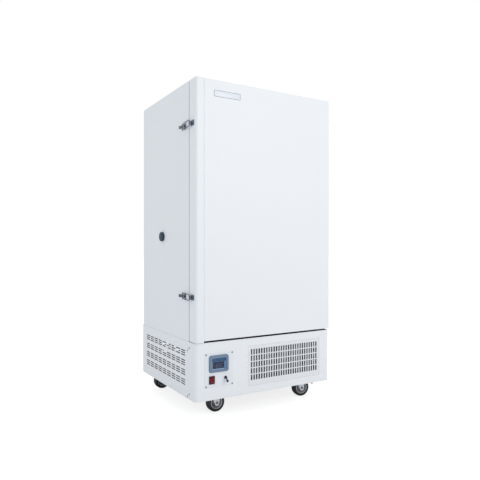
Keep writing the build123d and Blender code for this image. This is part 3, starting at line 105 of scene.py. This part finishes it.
lamp("key_lamp", (1.3, -4.2, 2.3), (0, 0, 0.8), 2.4, 2.4, 60, (1.0, 0.99, 0.97))
lamp("side_lamp", (-3.6, 0.6, 1.9), (0, 0, 0.8), 2.0, 2.4, 20, (0.97, 0.99, 1.0))


def solid(name, points, faces, material, smooth=35):
    """A mesh object from an array of points and a list of faces, turned outwards.
    Edges flatter than the smooth angle are shaded smooth."""
    data = bpy.data.meshes.new(name)
    data.from_pydata(np.asarray(points).tolist(), [], np.asarray(faces, object).tolist())
    work = bmesh.new()
    work.from_mesh(data)
    bmesh.ops.recalc_face_normals(work, faces=work.faces)
    work.to_mesh(data)
    work.free()
    data.shade_smooth()
    data.set_sharp_from_angle(angle=math.radians(smooth))
    data.materials.append(material)
    obj = bpy.data.objects.new(name, data)
    scene.collection.objects.link(obj)
    return obj


floor_reach = 30
floor_glow = 0.80
floor_paint = bpy.data.materials.new("studio_floor")
floor_paint.use_nodes = True
tree = floor_paint.node_tree
tree.nodes.clear()
seen = tree.nodes.new("ShaderNodeLightPath").outputs["Is Camera Ray"]
lift = wired(tree, "ShaderNodeMath")
lift.operation = "MULTIPLY"
tree.links.new(seen, lift.inputs[0])
lift.inputs[1].default_value = floor_glow
grain = wired(tree, "ShaderNodeTexNoise", Scale=3.0, Detail=2.0)
shade = wired(tree, "ShaderNodeMapRange", Value=grain.outputs["Fac"], To_Min=0.44, To_Max=0.46)
matt = wired(tree, "ShaderNodeBsdfDiffuse", Color=shade.outputs["Result"])
glow = wired(tree, "ShaderNodeEmission", Color=(1, 1, 1, 1), Strength=lift.outputs[0])
both = tree.nodes.new("ShaderNodeAddShader")
tree.links.new(matt.outputs[0], both.inputs[0])
tree.links.new(glow.outputs[0], both.inputs[1])
bounce = wired(tree, "ShaderNodeBsdfDiffuse", Color=(0.86, 0.87, 0.88, 1))
choice = wired(tree, "ShaderNodeMixShader", Fac=seen)
tree.links.new(bounce.outputs[0], choice.inputs[1])
tree.links.new(both.outputs[0], choice.inputs[2])
end = tree.nodes.new("ShaderNodeOutputMaterial")
tree.links.new(choice.outputs[0], end.inputs["Surface"])
floor_corners = np.array([(-1, -1, 0), (1, -1, 0), (1, 1, 0), (-1, 1, 0)])
solid("studio_floor", floor_corners * floor_reach, [[0, 1, 2, 3]], floor_paint)

# Chassis
# A welded steel frame and floor pan that carry the machine, the cabinet and the casters.
# It is sprayed with satin grey paint and hidden by the base covers, apart from its lower edge.

record = frame["record"]
bodies = record["behaviour"]["bodies"]
body_of_node = {node: body for body, group in bodies.items() for node in group}


def surface(
    name,
    colour,
    rough,
    metal=0.0,
    grain=600.0,
    depth=0.00002,
    tone=0.03,
    patch=5.0,
    spread=0.05,
    stretch=(1, 1, 1),
    round_edge=0.0,
    coat=0.0,
    specular=0.5,
):
    """A procedural finish in object coordinates. Fine noise lifts the surface by a small depth, and
    broad noise moves the colour by the tone and the roughness by the spread. The stretch draws the
    fine noise out into brushing. A round edge softens how sharp sheet edges catch the light."""
    material = bpy.data.materials.new(name)
    material.use_nodes = True
    tree = material.node_tree
    shader = tree.nodes["Principled BSDF"]
    place = tree.nodes.new("ShaderNodeTexCoord").outputs["Object"]
    drawn = wired(tree, "ShaderNodeMapping", Vector=place, Scale=stretch)
    fine = wired(tree, "ShaderNodeTexNoise", Vector=drawn.outputs[0], Scale=grain, Detail=3.0)
    broad = wired(tree, "ShaderNodeTexNoise", Vector=place, Scale=patch, Detail=4.0)
    mixed = wired(tree, "ShaderNodeMix")
    mixed.data_type = "RGBA"
    tree.links.new(broad.outputs["Fac"], mixed.inputs["Factor"])
    low = [channel * (1 - tone) for channel in colour]
    high = [min(channel * (1 + tone), 1) for channel in colour]
    # Sockets 6 and 7 are the two colours of this mode, and output 2 is the colour between them.
    mixed.inputs[6].default_value = (*low, 1)
    mixed.inputs[7].default_value = (*high, 1)
    tree.links.new(mixed.outputs[2], shader.inputs["Base Color"])
    gloss = wired(
        tree,
        "ShaderNodeMapRange",
        Value=fine.outputs["Fac"],
        To_Min=max(rough - spread, 0.02),
        To_Max=min(rough + spread, 1.0),
    )
    tree.links.new(gloss.outputs["Result"], shader.inputs["Roughness"])
    bump = wired(tree, "ShaderNodeBump", Height=fine.outputs["Fac"], Distance=depth, Strength=1.0)
    if round_edge:
        corner = wired(tree, "ShaderNodeBevel", Radius=round_edge)
        tree.links.new(corner.outputs[0], bump.inputs["Normal"])
    tree.links.new(bump.outputs[0], shader.inputs["Normal"])
    shader.inputs["Metallic"].default_value = metal
    shader.inputs["Coat Weight"].default_value = coat
    shader.inputs["Coat Roughness"].default_value = 0.06
    shader.inputs["Specular IOR Level"].default_value = specular
    return material


def dress(material, *nodes):
    """Gives CAD pieces their finish, on the object's own material slots."""
    for node in nodes:
        obj = frame["nodes"][node]
        if not obj.data.materials:
            obj.data.materials.append(material)
        for place in obj.material_slots:
            place.link = "OBJECT"
            place.material = material


dress(surface("chassis_paint", (0.055, 0.06, 0.07), 0.42, round_edge=0.0008), "base_chassis")

# Casters
# Four swivel casters with solid rubber tyres on bright hubs, in pressed and plated forks bolted
# under the pan. The front pair has brake pedals, one of bare plated steel and one dipped red.

tyre_rubber = surface("tyre_rubber", (0.012, 0.013, 0.018), 0.38, grain=900, tone=0.3, patch=60)
hub_metal = surface("hub_metal", (0.80, 0.81, 0.83), 0.22, 0.95, grain=500, tone=0.04, patch=90)
# Painted shade: the dark grey of the ring laid in the hollow of each face of the hub.
hub_recess = surface("hub_recess", (0.10, 0.11, 0.13), 0.5, grain=700, tone=0.15, patch=80)
bolt_steel = surface("bolt_steel", (0.24, 0.25, 0.28), 0.35, 0.8, grain=700, tone=0.1, patch=120)
fork_plate = surface(
    "fork_plate", (0.94, 0.95, 0.96), 0.28, 0.0, grain=450, tone=0.04, patch=60, coat=0.3
)
pedal_plate = surface(
    "pedal_plate", (0.80, 0.82, 0.85), 0.32, 0.2, grain=500, tone=0.05, patch=70, coat=0.1
)
pedal_dip = surface("pedal_dip", (0.50, 0.010, 0.035), 0.3, grain=500, tone=0.08, coat=0.4)
dress(fork_plate, "caster_plates")


def skin(grid, closed=False):
    """Points and faces of a grid of loops: quads between neighbouring loops, the last point of a
    loop joined to its first, and a flat cap on both ends unless the loops close on themselves."""
    rows, columns = grid.shape[:2]
    row = np.arange(rows if closed else rows - 1)[:, None] + np.zeros((1, columns), int)
    column = np.arange(columns)[None, :] + 0 * row
    right = (column + 1) % columns
    up = (row + 1) % rows
    corners = (
        row * columns + column,
        row * columns + right,
        up * columns + right,
        up * columns + column,
    )
    faces = np.stack(corners, -1).reshape(-1, 4).tolist()
    if not closed:
        loop = np.arange(columns)
        faces += [loop[::-1].tolist(), (loop + (rows - 1) * columns).tolist()]
    return grid.reshape(-1, 3), faces


def turned(section, axis, centre, turns=64, closed=False):
    """Points and faces of a section of (radius, along) turned about an axis. Each point is the
    centre, plus the axis times along, plus the radius times a unit circle square to the axis."""
    radius, along = np.asarray(section, float).T
    axis = np.asarray(axis, float) / np.linalg.norm(axis)
    first = np.cross(axis, (0.31, 0.47, 0.83))
    first /= np.linalg.norm(first)
    second = np.cross(axis, first)
    angle = np.arange(turns) * 2 * np.pi / turns
    circle = np.cos(angle)[:, None] * first + np.sin(angle)[:, None] * second
    grid = along[:, None, None] * axis + radius[:, None, None] * circle[None]
    return skin(grid + np.asarray(centre, float), closed)


def joined(parts):
    """Several sets of points and faces as one set."""
    points, faces, count = [], [], 0
    for some, sides in parts:
        points.append(np.asarray(some, float))
        faces += [[index + count for index in side] for side in sides]
        count += len(some)
    return np.concatenate(points), faces


def piece(name, shape, material, body, slot, *replaced, smooth=35):
    """A finished piece that rides on a body and may stand for CAD nodes. The slot argument is not
    used.
    """
    obj = solid(name, shape[0], shape[1], material, smooth)
    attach(obj, body)
    if replaced:
        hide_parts(*replaced)
    return obj


def eased(node, width, material, segments=2, angle=35):
    """A copy of a CAD piece with rounded edges. Doubles are merged, flat facets are joined, and the
    edges sharper than the angle are bevelled to the width."""
    data = frame["nodes"][node].data.copy()
    work = bmesh.new()
    work.from_mesh(data)
    bmesh.ops.remove_doubles(work, verts=work.verts, dist=0.000002)
    bmesh.ops.dissolve_limit(
        work, angle_limit=math.radians(1), verts=work.verts, edges=work.edges
    )
    work.to_mesh(data)
    work.free()
    if "custom_normal" in data.attributes:
        data.attributes.remove(data.attributes["custom_normal"])
    data.shade_smooth()
    data.set_sharp_from_angle(angle=math.radians(angle))
    data.materials.clear()
    data.materials.append(material)
    obj = bpy.data.objects.new(node + "_finished", data)
    scene.collection.objects.link(obj)
    round_over = obj.modifiers.new("round_over", "BEVEL")
    round_over.width = width
    round_over.segments = segments
    round_over.limit_method = "ANGLE"
    round_over.angle_limit = math.radians(angle)
    round_over.harden_normals = True
    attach(obj, body_of_node[node])
    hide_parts(node)
    return obj


wheel_radius, rim_radius, tyre_half_width, trail = 0.045, 0.031, 0.017, 0.022
squareness = 0.4
around = np.linspace(0, np.pi, 25)
bend = np.sign(np.cos(around)) * np.abs(np.cos(around)) ** squareness
crown = np.sin(around) ** squareness
tyre_section = np.stack(
    [rim_radius + (wheel_radius - rim_radius) * crown, tyre_half_width * bend], 1
)
# Half of the disc's section as (radius, along the axle), from the bore out to the tyre's seat.
hub_side = np.array(
    [
        (0.00605, 0.0176),
        (0.0065, 0.0180),
        (0.0102, 0.0180),
        (0.0110, 0.0174),
        (0.0124, 0.0062),
        (0.0136, 0.0050),
        (0.0248, 0.0050),
        (0.0262, 0.0062),
        (0.0276, 0.0158),
        (0.0284, 0.0168),
        (0.0300, 0.0168),
        (0.0308, 0.0160),
    ]
)
hub_section = np.concatenate([hub_side, hub_side[::-1] * (1, -1)])
# A nut on each end of the axle, and a dark ring of painted shade laid in the hollow of each face of
# the disc.
nut_section = [(0.0078, 0.0215), (0.0078, 0.0245), (0.0070, 0.0253)]
shade_ring_section = [(0.0134, 0.0051), (0.0252, 0.0051), (0.0252, 0.0056), (0.0134, 0.0056)]
# Each caster's swivel axis, and the heading in degrees in which its wheel trails.
casters = {
    "front_left": ((-0.249, -0.219099), 0.0),
    "front_right": ((0.263, -0.219099), -10.0),
    "rear_left": ((-0.273, 0.290901), 180.0),
    "rear_right": ((0.287, 0.290901), 200.0),
}
for corner, (spot, heading) in casters.items():
    out = np.array([math.cos(math.radians(heading)), math.sin(math.radians(heading)), 0])
    axle = np.array([-out[1], out[0], 0])
    centre = np.array([*spot, wheel_radius]) + trail * out
    wheel = corner + "_wheel"
    tyre = turned(tyre_section, axle, centre, 96, closed=True)
    piece(corner + "_tread", tyre, tyre_rubber, wheel, "tyre_black", corner + "_tyre")
    hub = turned(hub_section, axle, centre, 96, closed=True)
    piece(corner + "_wheel_disc", hub, hub_metal, wheel, "hub_steel", corner + "_hub")
    # The dark rings are painted shade in the hollows of the disc.
    shade_ring = joined(
        [turned(shade_ring_section, side * axle, centre, 64, closed=True) for side in (-1, 1)]
    )
    piece(corner + "_recess", shade_ring, hub_recess, wheel, "tyre_black")
    eased(corner + "_fork", 0.0007, fork_plate)
    nuts = joined([turned(nut_section, side * axle, centre, 6) for side in (-1, 1)])
    piece(corner + "_axle_nuts", nuts, bolt_steel, corner + "_fork", "caster_steel")
eased("front_left_pedal", 0.0006, pedal_plate)
eased("front_right_pedal", 0.0006, pedal_dip)

# Machine
# Hermetic compressor on rubber grommets, finned condenser behind the grille with a fan and its
# motor on a sheet shroud, and brazed copper pipes. Bolted to the pan, hidden by the covers.

enamel = surface("compressor_enamel", (0.012, 0.012, 0.014), 0.25, grain=350, tone=0.2, coat=0.5)
dress(enamel, "compressor")
fins = surface(
    "condenser_fins", (0.30, 0.31, 0.33), 0.45, 0.6, grain=260, tone=0.1, stretch=(6, 1, 0.4)
)
dress(fins, "condenser")
dress(surface("shroud_paint", (0.075, 0.08, 0.09), 0.5), "fan_shroud")
dress(surface("motor_casting", (0.035, 0.035, 0.04), 0.55, 0.3, depth=0.0001), "fan_motor")
dress(surface("fan_plastic", (0.010, 0.010, 0.013), 0.45, tone=0.1), "fan_rotor")
copper = surface(
    "drawn_copper", (0.62, 0.27, 0.15), 0.3, 1.0, grain=300, tone=0.12, patch=25, stretch=(1, 1, 8)
)
dress(copper, "refrigerant_pipes", "evaporator_coil")

# Base covers
# Folded sheet steel with a fine powder coat, screwed to the chassis. The front cover wraps round
# both front corners; the sides have bands of short slots and the back has wide ones. A flat strip
# closes the top of the base in front of the cabinet, under the door.

powder = dict(rough=0.42, grain=900, depth=0.000012, tone=0.008, patch=3, spread=0.04)
base_coat = surface("base_powder_coat", (0.83, 0.85, 0.88), round_edge=0.0012, **powder)
dress(base_coat, "base_front_panel", "left_louvre_panel", "right_louvre_panel", "rear_grille")


def boxes(lows, highs):
    """Points and faces of separate boxes, one for each pair of opposite corners."""
    lows, highs = np.atleast_2d(lows), np.atleast_2d(highs)
    pick = np.stack(np.meshgrid([0, 1], [0, 1], [0, 1], indexing="ij"), -1).reshape(8, 3)
    points = np.where(pick[None], highs[:, None], lows[:, None]).reshape(-1, 3)
    quads = np.array(
        [[0, 1, 3, 2], [4, 6, 7, 5], [0, 4, 5, 1], [2, 3, 7, 6], [0, 2, 6, 4], [1, 5, 7, 3]]
    )
    faces = np.arange(len(lows))[:, None, None] * 8 + quads
    return points, faces.reshape(-1, 4).tolist()


strip_low, strip_high = (-0.342, -0.2825, 0.3542), (0.356, -0.245, 0.3554)
strip_coat = surface("strip_powder_coat", (0.80, 0.82, 0.85), round_edge=0.0006, **powder)
piece("base_top_strip", boxes(strip_low, strip_high), strip_coat, "cabinet", "base_white")

# Grille
# Pressed steel grille set into the front cover, with five rows of narrow upright slots for the
# cooling air. It has the same powder coat and is held by its flange behind the cover.

grille_coat = surface("grille_powder_coat", (0.78, 0.80, 0.83), round_edge=0.0008, **powder)
dress(grille_coat, "grille_insert")

# Controls
# A steel plate on the front cover carries the controller, a rocker switch and a toggle switch.
# The controller has a moulded bezel, a printed membrane, two keys and a liquid crystal display.

plate_coat = surface("plate_powder_coat", (0.80, 0.82, 0.86), round_edge=0.0006, **powder)
dress(plate_coat, "control_plate")
bezel_plastic = surface(
    "bezel_plastic",
    (0.15, 0.225, 0.335),
    0.36,
    grain=700,
    tone=0.04,
    patch=40,
    coat=0.25,
    round_edge=0.0015,
)
dress(bezel_plastic, "controller_housing")
key_rubber = surface("key_rubber", (0.10, 0.24, 0.46), 0.5, grain=800, round_edge=0.0008)
dress(key_rubber, "lower_key", "upper_key")
switch_plastic = surface(
    "switch_plastic", (0.012, 0.012, 0.016), 0.28, grain=700, tone=0.1, round_edge=0.0006
)
dress(switch_plastic, "switch_housings")


def rounded_plate(low, high, corner, ease, count=7):
    """A thin plate that faces the front, with round corners and an eased front edge. Its outline is
    four quarter circles; the last loop is drawn in by the ease."""
    low, high = np.asarray(low, float), np.asarray(high, float)
    quarter = np.linspace(0, np.pi / 2, count)
    turn = (np.arange(4)[:, None] * np.pi / 2 + quarter).ravel()
    reach = (high - low)[[0, 2]] / 2 - corner
    side = np.repeat([(1, 1), (-1, 1), (-1, -1), (1, -1)], count, axis=0) * reach
    circle = np.stack([np.cos(turn), np.sin(turn)], 1)
    middle = (low + high)[[0, 2]] / 2
    levels = [(high[1], 0), (low[1] + ease, 0), (low[1] + ease * 0.3, 0.3 * ease), (low[1], ease)]
    loops = []
    for level, inset in levels:
        flat = middle + side + circle * (corner - inset)
        loops.append(np.stack([flat[:, 0], np.full(len(flat), level), flat[:, 1]], 1))
    return skin(np.stack(loops))


# The cabinet's left side, the base's lower edge and the control plate's face.
x_left, z_base, y_plate = -0.383, 0.09, -0.324599


def on_base(across, up, level):
    """A point placed by its distance from the left side and above the base's lower edge."""
    return x_left + across, level, z_base + up


controller_depth, film_thick, film_ease, film_corner = 0.0045, 0.0003, 0.0001, 0.0012
membrane_face = y_plate - controller_depth
# Each printed zone's lower left and upper right corners on the base, and its colour.
zones = {
    "membrane_top": ((0.0826, 0.1752), (0.1564, 0.1904), (0.018, 0.075, 0.18)),
    "membrane_right": ((0.1464, 0.1396), (0.1564, 0.1428), (0.09, 0.21, 0.42)),
    "membrane_low": ((0.0826, 0.1396), (0.1454, 0.1424), (0.36, 0.50, 0.72)),
}
for name, (low, high, tint) in zones.items():
    film = surface(name + "_film", tint, 0.3, grain=1200, tone=0.03, patch=60, coat=0.2)
    shape = rounded_plate(
        on_base(*low, membrane_face - film_thick),
        on_base(*high, membrane_face),
        film_corner,
        film_ease,
    )
    piece(name, shape, film, "cabinet", "controller_blue")


display_back = surface("display_back", (0.003, 0.014, 0.05), 0.3, grain=900, tone=0.1)
display_corner = 0.001
display_seat, digits_back, digits_front = y_plate - 0.0030, y_plate - 0.0037, y_plate - 0.0039
pane_back = y_plate - 0.0041
shape = rounded_plate(
    on_base(0.0873, 0.1433, digits_back),
    on_base(0.1447, 0.1737, display_seat),
    display_corner,
    film_ease,
)
piece("display_back", shape, display_back, "cabinet", "controller_blue")
digit_ink = surface("digit_ink", (0.14, 0.25, 0.42), 0.5, grain=900, tone=0.02)
# The seven bars of a digit, each from one corner to another of a grid one wide and two tall.
bars = {
    "a": (0, 2, 1, 2),
    "b": (1, 1, 1, 2),
    "c": (1, 0, 1, 1),
    "d": (0, 0, 1, 0),
    "e": (0, 0, 0, 1),
    "f": (0, 1, 0, 2),
    "g": (0, 1, 1, 1),
}
digit_left, digit_foot, digit_pitch = 0.0935, 0.1495, 0.0115
bar_across, bar_up, bar_half = 0.007, 0.0075, 0.0006
lows, highs = [], []
for place, lit in enumerate(("g", "abcdefg", "abcdef", "abcdef")):
    left = digit_left + digit_pitch * place
    for bar in lit:
        x0, z0, x1, z1 = bars[bar]
        low = (left + x0 * bar_across - bar_half, digit_foot + z0 * bar_up - bar_half)
        high = (left + x1 * bar_across + bar_half, digit_foot + z1 * bar_up + bar_half)
        lows.append(on_base(*low, digits_front))
        highs.append(on_base(*high, digits_back))
piece("display_digits", boxes(lows, highs), digit_ink, "cabinet", "controller_blue")
pane = bpy.data.materials.new("display_pane")
pane.use_nodes = True
shader = pane.node_tree.nodes["Principled BSDF"]
ripple = wired(pane.node_tree, "ShaderNodeTexNoise", Scale=120.0)
faint = wired(
    pane.node_tree, "ShaderNodeMapRange", Value=ripple.outputs["Fac"], To_Min=0.02, To_Max=0.06
)
pane.node_tree.links.new(faint.outputs["Result"], shader.inputs["Roughness"])
shader.inputs["Transmission Weight"].default_value = 1.0
shader.inputs["Base Color"].default_value = (0.86, 0.90, 0.97, 1)
shader.inputs["IOR"].default_value = 1.3
shape = rounded_plate(
    on_base(0.0871, 0.1431, membrane_face),
    on_base(0.1449, 0.1739, pane_back),
    display_corner,
    film_ease,
)
piece("display_pane", shape, pane, "cabinet", "display_glass", "display_window")

rocker_red = surface("rocker_red", (0.17, 0.002, 0.010), 0.4, grain=600, tone=0.06, specular=0.2)
eased("rocker_button", 0.0006, rocker_red)

sleeve_vinyl = surface("sleeve_vinyl", (0.010, 0.030, 0.12), 0.24, grain=500, tone=0.1, coat=0.5)
tilt = math.radians(42)
pivot = (-0.228, -0.329899, 0.187)
ball_radius, neck_radius, tip_radius = 0.004, 0.0028, 0.0055
reach = np.linspace(0, 1, 20)
sleeve_radius = neck_radius + (tip_radius - neck_radius) * np.sin(reach * np.pi / 2) ** 2
tip = np.linspace(0, np.pi / 2, 10)[1:-1]
lever_section = np.concatenate(
    [
        np.stack([ball_radius * np.cos(tip[::-1]), -ball_radius * np.sin(tip[::-1])], 1),
        [(ball_radius, 0), (0.0030, 0.0026), (0.0022, 0.0034), (0.0022, 0.0056), (0.0026, 0.0058)],
        np.stack([sleeve_radius, 0.0060 + 0.0142 * reach], 1),
        np.stack([tip_radius * np.cos(tip), 0.0202 + 0.0058 * np.sin(tip)], 1),
    ]
)
toggle = turned(lever_section, (0, -math.cos(tilt), -math.sin(tilt)), pivot, 40)
piece("toggle_sleeve", toggle, sleeve_vinyl, "toggle", "toggle_blue", "toggle_lever")

# Cabinet
# Folded steel shell with a smooth white powder coat, foamed solid round a brushed stainless liner.
# A plastic breaker frame joins the two at the mouth; folded shelves stand on angle rails.

cabinet_coat = surface("cabinet_powder_coat", (0.83, 0.85, 0.88), round_edge=0.0015, **powder)
dress(cabinet_coat, "outer_shell", "rear_panel")
foam = surface("rigid_foam", (0.72, 0.62, 0.38), 0.9, grain=250, depth=0.0003, tone=0.06, patch=40)
dress(foam, "cabinet_foam", "door_foam")
steel = surface(
    "brushed_stainless",
    (0.56, 0.57, 0.58),
    0.3,
    1.0,
    grain=40,
    depth=0.000006,
    tone=0.03,
    spread=0.08,
    stretch=(0.6, 0.6, 60),
    round_edge=0.001,
)
dress(steel, "inner_liner", "shelves", "shelf_rails")
white_plastic = surface(
    "white_plastic", (0.80, 0.81, 0.81), 0.4, grain=500, depth=0.00004, tone=0.015, round_edge=0.001
)
dress(white_plastic, "breaker_frame", "door_liner", "door_caps", "port_sleeve")

# Test port
# A plastic sleeve through the left wall, closed by a dark rubber plug with a round cap.
# The plug is pushed in by hand, and is pulled out when a sensor lead has to pass.

plug_rubber = surface("plug_rubber", (0.008, 0.035, 0.055), 0.42, grain=500, tone=0.15, patch=60)
cap_round = np.linspace(0, np.pi / 2, 9)
cap_radius, rim_round = 0.0240, 0.0035
plug_section = np.concatenate(
    [
        [(0.0136, -0.086), (0.0140, -0.0856), (0.0140, -0.0002), (0.0228, 0), (cap_radius, 0.0012)],
        np.stack(
            [
                cap_radius - rim_round + rim_round * np.cos(cap_round),
                0.0080 + rim_round * np.sin(cap_round),
            ],
            1,
        ),
        [(0.0150, 0.0116), (0.0135, 0.0108), (0.0125, 0.0106)],
        [(0.0115, 0.0108), (0.0100, 0.0116), (0.0040, 0.0120)],
    ]
)
cap_foot = (x_left - 0.0015, 0.058901, 0.846)
plug = turned(plug_section, (-1, 0, 0), cap_foot, 80)
piece("port_cap", plug, plug_rubber, "port_plug", "port_rubber", "port_plug")

# Door
# A folded steel front sheet with a formed inner skin, foamed solid, and a rounded aluminium grip
# along the latch edge. The magnetic gasket is pushed into the back of the inner skin.

door_coat = surface("door_powder_coat", (0.84, 0.86, 0.89), round_edge=0.0012, **powder)
dress(door_coat, "door_panel")
edge_coat = surface("edge_powder_coat", (0.83, 0.86, 0.89), round_edge=0.0015, **powder)
dress(edge_coat, "door_edge_profile")
gasket_vinyl = surface("gasket_vinyl", (0.50, 0.52, 0.55), 0.5, grain=500, tone=0.03)
dress(gasket_vinyl, "door_gasket")

# A thin blank plate on the door's front sheet: a dark plate, and a pale field a rim's width inside.
door_face, plate_thick, plate_corner, rim_width, proud = -0.3291, 0.0004, 0.002, 0.0014, 0.0001
plate_left, plate_right, plate_foot, plate_head = -0.2902, -0.1498, 1.4853, 1.5146
rim_print = surface("plate_rim", (0.03, 0.07, 0.24), 0.4, grain=900, tone=0.03)
plate = rounded_plate(
    (plate_left, door_face - plate_thick, plate_foot),
    (plate_right, door_face, plate_head),
    plate_corner,
    film_ease,
)
piece("door_plate", plate, rim_print, "door", "door_white")
blank = surface("plate_blank", (0.80, 0.83, 0.88), 0.35, grain=900, tone=0.01)
field = rounded_plate(
    (plate_left + rim_width, door_face - plate_thick - proud, plate_foot + rim_width),
    (plate_right - rim_width, door_face - proud, plate_head - rim_width),
    film_corner,
    film_ease,
)
piece("door_plate_field", field, blank, "door", "door_white")

# Hinges
# Two plated steel brackets, one above the door and one below, screwed to the cabinet's rim.
# Each has a pin that turns in the door's end cap.

hinge_zinc = surface("hinge_zinc", (0.56, 0.57, 0.60), 0.35, 0.9, grain=350, tone=0.06, patch=50)
eased("hinge_brackets", 0.0005, hinge_zinc)

# Latches
# Over-centre toggle latches of plated steel: a base with a lever on the cabinet's side, a stamped
# draw link that goes over the keeper, and a keeper on the door's edge.

base_chrome = surface("latch_chrome", (0.72, 0.74, 0.77), 0.16, 0.9, grain=400, tone=0.04, patch=70)
# The link, keeper and lever are the same plated steel as the base; their dark colours are painted
# shade and painted dark reflections of the plating.
link_steel_painted_shade = surface("link_steel_painted_shade", (0.07, 0.09, 0.11), 0.3, 0.6, grain=400, tone=0.08, patch=70)
keeper_steel_painted_shade = surface("keeper_steel_painted_shade", (0.24, 0.29, 0.37), 0.3, 0.6, grain=400, tone=0.08, patch=70)
lever_steel_painted_shade = surface("lever_steel_painted_shade", (0.12, 0.14, 0.17), 0.28, 0.6, grain=400, tone=0.08, patch=70)
eased("latch_bases", 0.0004, base_chrome)
eased("latch_keepers", 0.0004, keeper_steel_painted_shade)
for level in ("upper", "lower"):
    eased(level + "_latch_lever", 0.0004, lever_steel_painted_shade)
    eased(level + "_latch_link", 0.0005, link_steel_painted_shade)

# Screws
# Plated pan-head screws with cross recesses, on the covers, the back, the control plate, the
# hinges and the latches.

screw_plate = surface("screw_plate", (0.30, 0.31, 0.34), 0.3, 0.8, grain=500, tone=0.05, patch=90)
eased("screws", 0.0007, screw_plate, segments=3)

# Back
# The appliance inlet is a black plastic moulding with recessed contacts.
# It is clipped into the rear cover, low down, and takes a separate cord.

dress(surface("inlet_plastic", (0.010, 0.010, 0.012), 0.35, round_edge=0.0008), "power_inlet")
